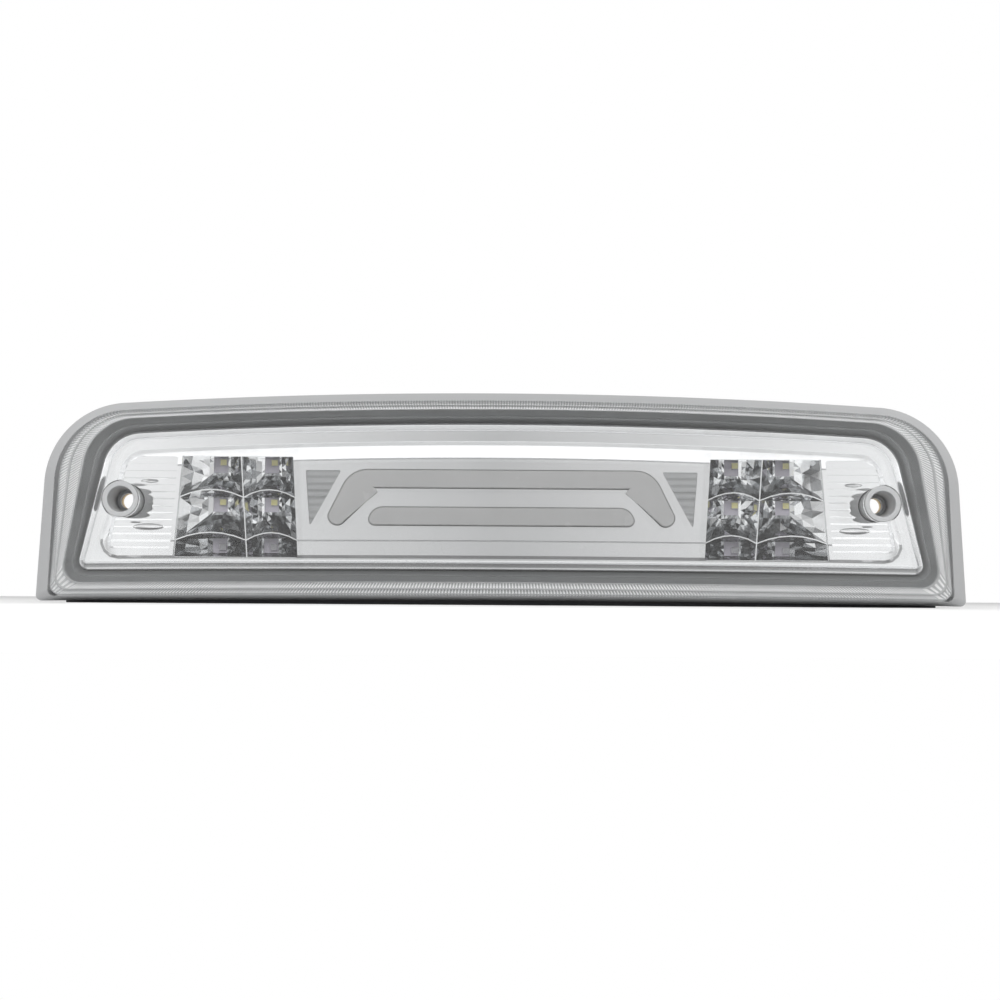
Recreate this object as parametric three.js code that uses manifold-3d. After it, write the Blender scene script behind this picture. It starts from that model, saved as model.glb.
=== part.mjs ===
// Third brake light for a pickup cab: a clear lens over a metallised bezel with two light bars
// in the middle and a block of six cargo-light cups at each end, on a shallow rear housing.
// Millimetres. X is the width, Z is up, the front faces -Y. The origin lies midway between the
// two screw axes, on the plane where the gasket meets the cab (y = 0).
import * as THREE from "three";
import { mergeVertices } from "three/addons/utils/BufferGeometryUtils.js";
import Module from "manifold-3d";

const wasm = await Module();
wasm.setup();

// ---------------------------------------------------------------- driving sizes
const FIT = 0.3; // gap between pieces that touch
const CUT = 1; // how far a cutter runs past what it cuts

// Every large outline is arched: its top and bottom edges are arcs of these radii.
const TOP_ARCH = 2560;
const BOTTOM_ARCH = 14000;
const ARCH_STEPS = 10;
const CORNER_STEPS = 6;

// Overall size of the lens: half width at its lower corners, lowest point and height at the middle
const HALF_WIDTH = 198.5;
const FOOT = -41.4;
const HEIGHT = 88.2;

// halfBottom and halfTop are the half widths at the bottom and top corners, before rounding.
const RIM = {
  halfBottom: HALF_WIDTH, halfTop: HALF_WIDTH - 4.6, bottom: FOOT, top: FOOT + HEIGHT, rBottom: 2.5, rTop: 36,
};

// Each outline further in is the one before it with its four sides moved in.
const inside = (from, { side, sideTop, bottom, top, rBottom, rTop }) => ({
  halfBottom: from.halfBottom - side,
  halfTop: from.halfTop - sideTop,
  bottom: from.bottom + bottom,
  top: from.top - top,
  rBottom,
  rTop,
});
const FACE = inside(RIM, { side: 8.7, sideTop: 7.4, bottom: 1.8, top: 4.7, rBottom: 3, rTop: 31 });
const BAND = inside(FACE, { side: 5.2, sideTop: 14, bottom: 5.8, top: 3.6, rBottom: 7, rTop: 22 });
const BEZEL = inside(BAND, { side: 4.2, sideTop: 5.5, bottom: 5.2, top: 4.8, rBottom: 4, rTop: 17 });
const DECK = inside(BEZEL, { side: 8.1, sideTop: 8.2, bottom: 5.4, top: 8.6, rBottom: 7, rTop: 9.5 });
const PANEL = inside(DECK, { side: 4, sideTop: 2.2, bottom: 6.9, top: 6.3, rBottom: 3, rTop: 6 });

// Depths along Y, from the cab towards the viewer.
const GASKET_THICK = 3;
const FLANGE_THICK = 2.5;
const FLANGE_LIP = 2; // how far the flange's straight lower edge hangs below the lens
const FLANGE_LIP_SIDE = 12.5; // end of that edge to the lens's lower corner
const FLANGE_INSET = 1; // flange outline inside the lens rim
const LENS_WALL = 2.5;
const SEAL_WIDTH = 2.4; // bead between the lens wall and the housing wall
const LENS_DEPTH = 20; // from its rear edge to its front face
const LENS_DRAFT = 17; // of that, the part that flares; the rest of the skirt is straight
const LENS_ROUND = 1.4; // edge round between skirt and face
const BEZEL_SINK = 12.1; // lens face to bezel frame
const BEZEL_WALL = 1.8;
const BEZEL_DEPTH = 8; // how far its outer edge turns back
const PANEL_STEP = 2; // frame to centre panel
const POCKET_STEP = 3.5; // centre panel level to fluted floor
const SURROUND_WALL = 1.5;
const SURROUND_SINK = 5.5; // lens face to the front edge of the surround
const SURROUND_STEP = 4; // depth of its outer facet
const SURROUND_LAP = 2.5; // how far it passes the bezel frame
const BOARD_FRONT = -2;
const BOARD_THICK = 1.6;
const BOARD_EDGE = 1; // how far a cargo board reaches past its block
const CAN_DEPTH = 10; // how far the housing reaches behind the gasket face
const HOUSING_WALL = 2.5;

// Screws and their sleeves
const SCREW_X = HALF_WIDTH - 39;
const SCREW_R = 3.3; // clearance hole for an M6 screw
const SLEEVE = { rFront: 7.6, rRear: 6.3, bore: 5.4, boreRear: 4.7, seat: 3 };
const BUSHING_WALL = 1.4;
const BUSHING_FLANGE = { r: 6, thick: 1.2 };

// Light bars: the upper one is an inverted U with slanting legs, the lower one a short bar.
const BAR = { width: 7.7, proud: 1.2, flange: 1, flangeThick: 1.2 };
const UPPER_BAR = { z: 10, cornerX: 61.7, endX: 69.8, endZ: -6, bend: 7.8 };
const LOWER_BAR = { z: -5.9, halfTop: 54, halfBottom: 58.1, rTop: 6, rBottom: 2.5 };

// Triangular ribbed insets beside the light bars
const INSET = { outerX: 83.4, innerX: 68.3, lean: 1.9, top: 13.5, bottom: -10.6, depth: 1, ribs: 8 };

// Cargo-light cups: two columns and three rows a side, each with a square window for its LED
const BLOCK = {
  outerTop: DECK.halfTop - 22.8,
  outerBottom: DECK.halfBottom - 32.7,
  top: DECK.top - 5.9,
  bottom: DECK.bottom - 0.7,
};
BLOCK.innerTop = BLOCK.outerTop - 47;
BLOCK.innerBottom = BLOCK.outerBottom - 53;
const DIVIDER = { top: BLOCK.outerTop - 24.6, bottom: BLOCK.outerBottom - 31.2 };
const ROW_EDGES = [BLOCK.top, BLOCK.bottom + 29, BLOCK.bottom + 10.7, BLOCK.bottom]; // crests, top to bottom
const ROW_DROP = 3.2; // how far a curved row boundary falls from its crest to the dividers
const RIDGE = 0.5; // thickness of the ridges between cups
const CUP_STEPS = 5;
const WINDOW = 6.2;
const REFLECTOR_RIM = 0.6; // how far a reflector reaches behind the edge of its opening
const WINDOW_DROPS = [0.5, 3, 2.3]; // row crest to the top of its windows
const LED_DROPS = [1.6, 2.1, 3.7]; // top of a window to the middle of its LED
const LED_COLUMNS = [BLOCK.outerTop - 37, BLOCK.outerTop - 15];
const LED_SHIFT = 1.3; // the boards are not mirrored, so every LED sits right of its column
const LED = { width: 3, height: 2.8, thick: 0.8 };

// Brake LEDs under the light bars
const UPPER_LEDS = 8;
const LOWER_LEDS = 6;
const LED_INSET = 6; // end LED of a row to the corner of its bar
const LIGHT_BOX = {
  halfWidth: UPPER_BAR.endX + 6.2,
  top: UPPER_BAR.z + BAR.width / 2 + 2.75,
  bottom: UPPER_BAR.endZ - BAR.width / 2 - 3.55,
};

// Flutes of the end pockets, and the web under every rib
const RIB_ROOT = 0.4;
const FLUTE = { pitch: 3, depth: 0.7, steps: 3 };

// Rear can, connector, vent and boards
const CAN = {
  halfBottom: BLOCK.outerBottom + 9.4,
  halfTop: BLOCK.outerBottom + 9.4,
  bottom: DECK.bottom - 6.8,
  top: DECK.top + 4.9,
  rBottom: 8,
  rTop: 8,
};
const SOCKET = { x: 0, z: 12, width: 26, height: 13, wall: 1.8, depth: 15 };
const BLADE = { count: 4, pitch: 5, width: 2.8, thick: 0.8, reach: 8 };
const VENT = { x: -70, z: 12, r: 6.5, stem: 2.5, thick: 3.5 };
const PILLAR_R = 3;

// ---------------------------------------------------------------- shape helpers
const V2 = (x, z) => new THREE.Vector2(x, z);

// Points of the arc that rounds the corner b between a and c.
function fillet(a, b, c, radius, steps) {
  const toA = a.clone().sub(b).normalize();
  const toC = c.clone().sub(b).normalize();
  const half = Math.acos(THREE.MathUtils.clamp(toA.dot(toC), -1, 1)) / 2;
  const start = b.clone().addScaledVector(toA, radius / Math.tan(half));
  const centre = b.clone().addScaledVector(toA.clone().add(toC).normalize(), radius / Math.sin(half));
  const turn = Math.PI - 2 * half;
  const side = Math.sign(toC.cross(toA)) || 1;
  return Array.from({ length: steps + 1 }, (_, i) =>
    start.clone().rotateAround(centre, (side * turn * i) / steps));
}

// A polygon with rounded corners, counter-clockwise seen from the front. corners: [x, z, radius]
function rounded(corners, steps = 5) {
  const at = corners.map(([x, z]) => V2(x, z));
  const n = at.length;
  return at.flatMap((p, i) =>
    fillet(at[(i + n - 1) % n], p, at[(i + 1) % n], corners[i][2], steps));
}

// The same polygon with every edge moved outwards by d.
function grown(corners, d) {
  const n = corners.length;
  const edge = (i) => {
    const a = V2(...corners[i % n]);
    const dir = V2(...corners[(i + 1) % n]).sub(a).normalize();
    return { p: a.addScaledVector(V2(dir.y, -dir.x), d), dir };
  };
  return corners.map(([, , r], i) => {
    const one = edge(i + n - 1);
    const two = edge(i);
    const t = two.p.clone().sub(one.p).cross(two.dir) / one.dir.cross(two.dir);
    const p = one.p.addScaledVector(one.dir, t);
    return [p.x, p.y, Math.max(r + d, 0.1)];
  });
}

// One of the lamp's arched outlines, moved outwards by d.
function arched(spec, d = 0) {
  const top = (x) => spec.top + d - (x * x) / (2 * TOP_ARCH);
  const bottom = (x) => spec.bottom - d - (x * x) / (2 * BOTTOM_ARCH);
  const halfTop = spec.halfTop + d;
  const halfBottom = spec.halfBottom + d;
  const corner = (at, r, before, after) => fillet(before, at, after, Math.max(r + d, 0.5), CORNER_STEPS);
  const topRight = V2(halfTop, top(halfTop));
  const bottomRight = V2(halfBottom, bottom(halfBottom));
  const crownPoint = V2(0, top(halfTop) + (halfTop * halfTop) / TOP_ARCH);
  const footPoint = V2(0, bottom(halfBottom) + (halfBottom * halfBottom) / BOTTOM_ARCH);
  const lower = corner(bottomRight, spec.rBottom, footPoint, topRight);
  const upper = corner(topRight, spec.rTop, bottomRight, crownPoint);
  const arc = (from, height) => Array.from({ length: ARCH_STEPS - 1 }, (_, i) => {
    const x = from.x * (1 - (2 * (i + 1)) / ARCH_STEPS);
    return V2(x, from.y + height(x) - height(from.x));
  });
  const mirrored = (points) => points.map((p) => V2(-p.x, p.y)).reverse();
  return [
    ...lower,
    ...upper,
    ...arc(upper.at(-1), top),
    ...mirrored(upper),
    ...mirrored(lower),
    ...arc(V2(-lower[0].x, lower[0].y), bottom),
  ];
}

// ---------------------------------------------------------------- solid helpers
function solid(geometry) {
  geometry.deleteAttribute("normal");
  geometry.deleteAttribute("uv");
  const merged = mergeVertices(geometry, 1e-4);
  return new wasm.Manifold(new wasm.Mesh({
    numProp: 3,
    vertProperties: merged.attributes.position.array,
    triVerts: new Uint32Array(merged.index.array),
  }));
}

// A closed solid through outlines of equal point count, ordered from the front to the rear.
function loft(...sections) {
  const n = sections[0].points.length;
  const position = sections.flatMap(({ points, y }) => points.flatMap((p) => [p.x, y, p.y]));
  const cap = (k) => THREE.ShapeUtils.triangulateShape(sections[k].points, []);
  const last = (sections.length - 1) * n;
  const index = cap(0).flat();
  cap(sections.length - 1).forEach(([a, b, c]) => index.push(last + a, last + c, last + b));
  for (let k = 0; k < sections.length - 1; k++)
    for (let j = 0; j < n; j++) {
      const front = k * n + j;
      const frontNext = k * n + ((j + 1) % n);
      index.push(front, front + n, frontNext + n, front, frontNext + n, frontNext);
    }
  const geometry = new THREE.BufferGeometry();
  geometry.setAttribute("position", new THREE.Float32BufferAttribute(position, 3));
  geometry.setIndex(index);
  return solid(geometry);
}

const prism = (points, front, rear) => loft({ points, y: front }, { points, y: rear });
const union = (list) => list.reduce((a, b) => a.add(b));

// A box by its limits: x, y and z are [low, high].
function box(x, y, z) {
  const g = new THREE.BoxGeometry(x[1] - x[0], y[1] - y[0], z[1] - z[0]);
  g.translate((x[0] + x[1]) / 2, (y[0] + y[1]) / 2, (z[0] + z[1]) / 2);
  return solid(g);
}

// A turned piece on the Y direction through (x, z). profile: [radius, y] from one end to the other.
// The profile may run either way, so the faces are turned to point outwards.
function turned(profile, x = 0, z = 0, steps = 20) {
  const points = profile.map(([r, y]) => V2(r, y));
  if (points[0].x > 0 || points.at(-1).x > 0) points.push(points[0].clone());
  const g = new THREE.LatheGeometry(points, steps);
  g.translate(x, 0, z);
  const made = solid(g);
  if (made.volume() > 0) return made;
  g.index.array.reverse();
  return solid(g);
}

const rod = (r, front, rear, x, z, steps) =>
  turned([[0, rear], [r, rear], [r, front], [0, front]], x, z, steps);

const mirrorX = (corners, side) =>
  side > 0 ? corners : corners.map(([x, z, r]) => [-x, z, r]).reverse();

// ---------------------------------------------------------------- the assembly
const lamp = new THREE.Group();
lamp.name = "third_brake_light";

const FINISH = {
  clear: { color: 0xf2f4f5, roughness: 0.08, metalness: 0, transparent: true, opacity: 0.35 },
  frosted: { color: 0xc3c5c6, roughness: 0.55, metalness: 0 },
  chrome: { color: 0xe6e7e8, roughness: 0.06, metalness: 1 },
  satin: { color: 0x8d8f90, roughness: 0.45, metalness: 0.6 },
  milky: { color: 0xababab, roughness: 0.35, metalness: 0 },
  white: { color: 0xe9e9e6, roughness: 0.5, metalness: 0 },
  board: { color: 0x8c8891, roughness: 0.5, metalness: 0 },
  chip: { color: 0xd9d38a, roughness: 0.4, metalness: 0 },
  clearChip: { color: 0xb4b4b6, roughness: 0.2, metalness: 0 },
  redChip: { color: 0xb06a60, roughness: 0.3, metalness: 0 },
  black: { color: 0x1d1e20, roughness: 0.6, metalness: 0 },
  foam: { color: 0x2a2a2b, roughness: 0.95, metalness: 0 },
  rubber: { color: 0x232323, roughness: 0.85, metalness: 0 },
  brass: { color: 0xc9a86a, roughness: 0.35, metalness: 1 },
  tin: { color: 0xb8babd, roughness: 0.35, metalness: 1 },
  wire: { color: 0x7d1f1c, roughness: 0.5, metalness: 0 },
};

function put(name, body, finish) {
  const mesh = body.getMesh();
  const geometry = new THREE.BufferGeometry();
  geometry.setAttribute("position", new THREE.BufferAttribute(mesh.vertProperties, 3));
  geometry.setIndex(new THREE.BufferAttribute(mesh.triVerts, 1));
  const part = new THREE.Mesh(geometry, new THREE.MeshStandardMaterial(FINISH[finish]));
  part.name = name;
  lamp.add(part);
}

const SIDES = [["left", -1], ["right", 1]];

// Depths that follow from the sizes above
const flangeRear = -GASKET_THICK - FIT;
const flangeFront = flangeRear - FLANGE_THICK;
const lensRear = flangeFront - FIT;
const lensFront = lensRear - LENS_DEPTH;
const draftEnd = lensFront + LENS_DRAFT;
const surroundFront = lensFront + SURROUND_SINK;
const bezelFront = lensFront + BEZEL_SINK;
const surroundRear = bezelFront + SURROUND_LAP;
const panelFront = bezelFront + PANEL_STEP;
const pocketFloor = panelFront + POCKET_STEP;
const bezelRear = bezelFront + BEZEL_DEPTH;
const panelRear = panelFront + BEZEL_WALL;
const boardRear = BOARD_FRONT + BOARD_THICK;
const reflectorRear = BOARD_FRONT - FIT;
const reflectorFront = panelRear + FIT;
const canFloor = CAN_DEPTH - HOUSING_WALL;

// ---- clear lens: a drafted skirt, a rounded edge and a flat face with two sleeve holes
const lensOuter = loft(
  { points: arched(FACE, -LENS_ROUND), y: lensFront },
  { points: arched(FACE), y: lensFront + LENS_ROUND },
  { points: arched(RIM), y: draftEnd },
  { points: arched(RIM), y: lensRear },
);
const lensInner = loft(
  { points: arched(FACE, -LENS_WALL), y: lensFront + LENS_WALL },
  { points: arched(RIM, -LENS_WALL), y: draftEnd },
  { points: arched(RIM, -LENS_WALL), y: lensRear + CUT },
);
const sleeveHoles = SIDES.map(([, s]) =>
  rod(SLEEVE.rFront + FIT, lensFront - CUT, lensRear, s * SCREW_X, 0, 24));
put("outer_lens", union([lensOuter]).subtract(lensInner).subtract(union(sleeveHoles)), "clear");

// ---- screw sleeves: frosted tubes from the lens face down to the housing flange
SIDES.forEach(([name, s]) => {
  const shell = [
    [SCREW_R, lensRear], [SLEEVE.rRear, lensRear], [SLEEVE.rFront, lensFront],
    [SLEEVE.bore, lensFront], [SLEEVE.boreRear, lensRear - SLEEVE.seat],
    [SCREW_R, lensRear - SLEEVE.seat],
  ];
  put(`screw_sleeve_${name}`, turned(shell, s * SCREW_X, 0, 24), "frosted");
});

// ---- bead that glues the lens to the housing wall
const wallInset = LENS_WALL + SEAL_WIDTH;
const bead = prism(arched(RIM, -LENS_WALL - FIT), draftEnd + FIT, lensRear)
  .subtract(prism(arched(RIM, -wallInset + FIT), draftEnd - CUT, lensRear + CUT));
put("lens_seal", bead, "rubber");

// ---- satin surround: two facets from the end of the lens ribs down to the bezel edge
const midBand = Object.fromEntries(Object.keys(BAND).map((k) => [k, (BAND[k] + BEZEL[k]) / 2]));
const surroundOuter = loft(
  { points: arched(BAND, SURROUND_WALL), y: surroundFront },
  { points: arched(BAND, SURROUND_WALL), y: surroundRear },
);
const surroundInner = loft(
  { points: arched(BAND), y: surroundFront - 0.01 },
  { points: arched(midBand), y: surroundFront + SURROUND_STEP },
  { points: arched(BEZEL, FIT), y: surroundRear + 0.01 },
);
const footOutline = arched(RIM, -wallInset - 1.6);
const surroundFoot = prism(footOutline, surroundRear - SURROUND_WALL, surroundRear);
put("bezel_surround", surroundOuter.add(surroundFoot).subtract(surroundInner), "satin");

// ---- bezel: a frame plate with a turned-back edge and trays let into it
const flutedCorners = [
  [BLOCK.outerBottom + 2, DECK.bottom + 2.6, 0.8], [DECK.halfBottom - 4.9, DECK.bottom + 2.6, 3],
  [DECK.halfTop + 1.4, DECK.top - 6.2, 6.8], [BLOCK.outerTop + 2.4, DECK.top - 6.2, 0.8],
];
const blockCorners = [
  [BLOCK.innerBottom, BLOCK.bottom, 0.6], [BLOCK.outerBottom, BLOCK.bottom, 0.6],
  [BLOCK.outerTop, BLOCK.top, 0.6], [BLOCK.innerTop, BLOCK.top, 0.6],
];
const blockOutline = (s, grow) => rounded(mirrorX(grown(blockCorners, grow), s), 2);
const insetCorners = [
  [INSET.outerX - INSET.lean, INSET.bottom, 0.4], [INSET.outerX, INSET.top, 0.4],
  [INSET.innerX, INSET.top, 0.4],
];

const tray = (grow, extra) => loft(
  { points: arched(DECK, grow), y: bezelFront - (grow ? 0 : 0.01) },
  { points: arched(PANEL, grow), y: panelFront + extra },
);

const pocket = (s, grow, front, floor) => loft(
  { points: rounded(mirrorX(grown(flutedCorners, 1 + grow), s)), y: front },
  { points: rounded(mirrorX(grown(flutedCorners, grow), s)), y: floor },
);

// A row of half-round ribs along X between two heights, as one wavy bar.
function waves(x, low, high, pitch, depth, rear, steps) {
  const count = Math.round((high - low) / pitch);
  const shape = new THREE.Shape([V2(-low, rear)]);
  for (let i = 0; i <= count * steps; i++) {
    const rise = Math.sin(Math.PI * ((i / steps) % 1));
    shape.lineTo(-THREE.MathUtils.lerp(low, high, i / (count * steps)), rear - RIB_ROOT - depth * rise);
  }
  shape.lineTo(-high, rear);
  const g = new THREE.ExtrudeGeometry(shape, { depth: x[1] - x[0], bevelEnabled: false });
  g.rotateY(Math.PI / 2);
  g.translate(x[0], 0, 0);
  return solid(g);
}

// The upper light bar's outline: its middle line, moved outwards by half its width.
function upperBar(grow = 0) {
  const half = BAR.width / 2 + grow;
  const { z, cornerX, endX, endZ, bend } = UPPER_BAR;
  const leg = V2(endX - cornerX, endZ - z).normalize();
  const across = V2(-leg.y, leg.x).multiplyScalar(half);
  const meet = (h) => cornerX + (h * (1 - leg.x)) / -leg.y;
  const tip = V2(endX, endZ);
  const cap = (from, sign) => Array.from({ length: 9 }, (_, i) =>
    from.clone().rotateAround(tip, (sign * Math.PI * i) / 8));
  const outer = fillet(tip.clone().add(across), V2(meet(half), z + half), V2(0, z + half), bend + half, 6);
  const inner = fillet(V2(0, z - half), V2(meet(-half), z - half), tip.clone().sub(across),
    Math.max(bend - half, 0.5), 6);
  const right = [...inner, ...cap(tip.clone().sub(across), 1), ...outer];
  return [...right, ...right.map((p) => V2(-p.x, p.y)).reverse()];
}

function lowerBar(grow = 0) {
  const { z, halfTop, halfBottom, rTop, rBottom } = LOWER_BAR;
  const top = z + BAR.width / 2;
  const bottom = z - BAR.width / 2;
  return rounded(grown([
    [-halfBottom, bottom, rBottom], [halfBottom, bottom, rBottom],
    [halfTop, top, rTop], [-halfTop, top, rTop],
  ], grow), 6);
}

const edgeRing = prism(arched(BEZEL), bezelFront, bezelRear)
  .subtract(prism(arched(BEZEL, -BEZEL_WALL), bezelFront - CUT, bezelRear + CUT));
const framePlate = prism(arched(BEZEL), bezelFront, bezelFront + BEZEL_WALL);
let bezel = union([edgeRing, framePlate, tray(BEZEL_WALL, BEZEL_WALL)]);
bezel = union([bezel, ...SIDES.map(([, s]) =>
  pocket(s, BEZEL_WALL, panelFront, pocketFloor + BEZEL_WALL))]);
bezel = bezel.subtract(tray(0, 0));
SIDES.forEach(([, s]) => {
  const floor = flutedCorners.map(([x]) => x);
  const span = [Math.min(...floor) - 3, Math.max(...floor) + 3].map((x) => x * s).sort((a, b) => a - b);
  const ribs = waves(span, flutedCorners[0][1] - 1, flutedCorners[3][1] + 1, FLUTE.pitch, FLUTE.depth,
    pocketFloor + 0.5, FLUTE.steps);
  bezel = bezel.subtract(pocket(s, 0, panelFront - CUT * 3, pocketFloor + 0.4).subtract(ribs));
  bezel = bezel.subtract(prism(blockOutline(s, 0), bezelFront - CUT, 0));
  bezel = bezel.subtract(prism(blockOutline(s, REFLECTOR_RIM + FIT), panelRear, 0));
  const inset = prism(rounded(mirrorX(insetCorners, s), 2), panelFront - CUT, panelFront + INSET.depth);
  const insetRibs = waves([INSET.innerX - 1, INSET.outerX + 1].map((x) => x * s).sort((a, b) => a - b),
    INSET.bottom, INSET.top, (INSET.top - INSET.bottom) / INSET.ribs, 0.4, panelFront + INSET.depth, 2);
  bezel = bezel.subtract(inset.subtract(insetRibs));
  bezel = bezel.subtract(rod(SLEEVE.rFront + 0.7, bezelFront - CUT, 0, s * SCREW_X, 0, 24));
});
[upperBar(FIT), lowerBar(FIT)].forEach((points) => {
  bezel = bezel.subtract(prism(points, panelFront - CUT, panelRear + CUT));
});
put("bezel", bezel, "chrome");

// ---- light bars: milky diffusers that fill the slots, each with a flange behind the panel
[["upper_light_bar", upperBar], ["lower_light_bar", lowerBar]].forEach(([name, outline]) => {
  const front = panelFront - BAR.proud;
  const body = prism(outline(), front, panelRear + FIT + BAR.flangeThick);
  const flange = prism(outline(BAR.flange), panelRear + FIT, panelRear + FIT + BAR.flangeThick);
  put(name, body.add(flange), "milky");
});

// ---- light box: a white block with a channel behind each bar
const boxFront = panelRear + 2 * FIT + BAR.flangeThick;
const { halfWidth, top: boxTop, bottom: boxBottom } = LIGHT_BOX;
const channels = [upperBar(-0.6), lowerBar(-0.6)].map((p) => prism(p, boxFront - CUT, 0));
const lightBox = box([-halfWidth, halfWidth], [boxFront, reflectorRear], [boxBottom, boxTop]);
put("light_box", lightBox.subtract(union(channels)), "white");

// ---- cargo reflectors: six faceted cups in a block behind each opening
const columnX = (z, column) => {
  const t = (z - BLOCK.bottom) / (BLOCK.top - BLOCK.bottom);
  const at = (a, b) => a + (b - a) * t;
  return [
    at(BLOCK.innerBottom, BLOCK.innerTop), at(DIVIDER.bottom, DIVIDER.top),
    at(BLOCK.outerBottom, BLOCK.outerTop),
  ][column];
};

// A four-sided outline from its low and high edges, both given as t -> point from t = 0 to 1.
function fourSided(low, high) {
  const edge = (f) => Array.from({ length: CUP_STEPS + 1 }, (_, i) => f(i / CUP_STEPS));
  const side = (a, b) => [a.clone().lerp(b, 1 / 3), a.clone().lerp(b, 2 / 3)];
  return [...edge(low), ...side(low(1), high(1)), ...edge(high).reverse(), ...side(high(0), low(0))];
}

// A cup's mouth: straight sides on the columns, curved edges on the rows, RIDGE apart.
function cupMouth(row, column) {
  const edge = (index, inwards) => (t) => {
    const bow = index === 0 || index === 3 ? 0 : ROW_DROP * (2 * t - 1) ** 2;
    const z = ROW_EDGES[index] - bow - (inwards * RIDGE) / 2;
    return V2(THREE.MathUtils.lerp(columnX(z, column) + RIDGE / 2, columnX(z, column + 1) - RIDGE / 2, t), z);
  };
  return fourSided(edge(row + 1, -1), edge(row, 1));
}

// The square window at the bottom of the cup.
const windowTop = (row) => ROW_EDGES[row] - WINDOW_DROPS[row];
function cupWindow(row, column) {
  const edge = (drop) => (t) => V2(LED_COLUMNS[column] + WINDOW * (t - 0.5), windowTop(row) - drop);
  return fourSided(edge(WINDOW), edge(0));
}

SIDES.forEach(([name, s]) => {
  let block = prism(blockOutline(s, REFLECTOR_RIM), reflectorFront, reflectorRear);
  for (let row = 0; row < 3; row++)
    for (let column = 0; column < 2; column++) {
      const flip = (points) => (s > 0 ? points : points.map((p) => V2(-p.x, p.y)).reverse());
      const mouth = cupMouth(row, column);
      const window = cupWindow(row, column);
      const bowl = mouth.map((p, i) => p.clone().lerp(window[i], 0.38));
      block = block.subtract(loft(
        { points: flip(mouth), y: reflectorFront - 0.01 },
        { points: flip(bowl), y: reflectorFront + 0.6 * (reflectorRear - reflectorFront) },
        { points: flip(window), y: reflectorRear + 0.01 },
      ));
    }
  put(`cargo_reflector_${name}`, block, "chrome");
});

// ---- circuit boards, their LEDs and the parts on them
const boardEdges = {
  left: [-BLOCK.outerBottom - BOARD_EDGE, -BLOCK.innerBottom + BOARD_EDGE],
  right: [BLOCK.innerBottom - BOARD_EDGE, BLOCK.outerBottom + BOARD_EDGE],
};
const boardHeight = [BLOCK.bottom - BOARD_EDGE, BLOCK.top + BOARD_EDGE];
SIDES.forEach(([name]) =>
  put(`cargo_board_${name}`, box(boardEdges[name], [BOARD_FRONT, boardRear], boardHeight), "board"));
put("brake_board", box([-halfWidth, halfWidth], [BOARD_FRONT, boardRear], [boxBottom, boxTop]), "board");

const chip = (x, z, w = LED.width, h = LED.height, t = LED.thick) => box(
  [x - w / 2, x + w / 2], [BOARD_FRONT - FIT - t, BOARD_FRONT - FIT], [z - h / 2, z + h / 2]);

SIDES.forEach(([name, s]) => LED_DROPS.forEach((drop, row) => LED_COLUMNS.forEach((x, column) => {
  const body = chip(s * x + LED_SHIFT, windowTop(row) - drop);
  put(`cargo_led_${name}_${row + 1}${"ab"[column]}`, body, row < 2 ? "chip" : "clearChip");
})));

const legX = (UPPER_BAR.endX + UPPER_BAR.cornerX) / 2;
for (let i = 0; i < UPPER_LEDS; i++) {
  const x = (UPPER_BAR.cornerX - LED_INSET) * ((2 * i) / (UPPER_LEDS - 1) - 1);
  put(`brake_led_upper_${i + 1}`, chip(x, UPPER_BAR.z), "redChip");
}
SIDES.forEach(([name, s]) =>
  put(`brake_led_leg_${name}`, chip(s * (legX + 2), UPPER_BAR.endZ + 3), "redChip"));
for (let i = 0; i < LOWER_LEDS; i++) {
  const x = (LOWER_BAR.halfTop - LED_INSET) * ((2 * i) / (LOWER_LEDS - 1) - 1);
  put(`brake_led_lower_${i + 1}`, chip(x, LOWER_BAR.z), "redChip");
}

// Driver parts stand on the rear side of the brake board.
const rearPart = (x, z, w, h, t) => box(
  [x - w / 2, x + w / 2], [boardRear + FIT, boardRear + FIT + t], [z - h / 2, z + h / 2]);
[-46, -36, 36].forEach((x, i) => put(`ballast_resistor_${i + 1}`, rearPart(x, 0, 6.3, 3.2, 0.6), "black"));
put("reverse_diode", rearPart(46, 0, 4.6, 2.6, 2.3), "black");

// ---- two-core jumpers from the brake board to the cargo boards, arched behind the boards
SIDES.forEach(([name, s]) => {
  const inner = halfWidth - 3;
  const outer = boardEdges.right[0] + 3;
  const y = boardRear + 1.1;
  const path = new THREE.CatmullRomCurve3([
    [inner, y, 4], [inner + 3, y + 2, 4], [outer - 3, y + 2, 4], [outer, y, 4],
  ].map(([x, py, z]) => new THREE.Vector3(s * x, py, z)));
  const core = new THREE.Shape([[-1.2, -0.6], [1.2, -0.6], [1.2, 0.6], [-1.2, 0.6]].map((p) => V2(...p)));
  const g = new THREE.ExtrudeGeometry(core, { steps: 10, bevelEnabled: false, extrudePath: path });
  put(`jumper_wire_${name}`, solid(g), "wire");
});

// ---- housing: flange, upstanding wall inside the lens, rear can, pillars, vent and socket holes
const flangeOutline = (d = 0) => arched(RIM, d - FLANGE_INSET);
const lipEnd = HALF_WIDTH - FLANGE_LIP_SIDE;
const lip = box([-lipEnd, lipEnd], [flangeFront, flangeRear], [FOOT - FLANGE_LIP, FOOT + 4]);
const flange = prism(flangeOutline(), flangeFront, flangeRear).add(lip);
const wallTop = surroundRear + FIT;
const upstand = prism(arched(RIM, -wallInset), wallTop, flangeRear)
  .subtract(prism(arched(RIM, -wallInset - HOUSING_WALL), wallTop - CUT, flangeRear + CUT));
const can = prism(arched(CAN), flangeFront, CAN_DEPTH);
const canInside = prism(arched(CAN, -HOUSING_WALL), flangeFront - CUT, canFloor);
const pillarSpots = [
  ...[-60, -20, 20, 60].map((x) => [x, -7]),
  ...[BLOCK.innerBottom + 6.4, BLOCK.outerBottom - 6.6].flatMap((x) => [[x, -3], [-x, -3]]),
];
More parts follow.
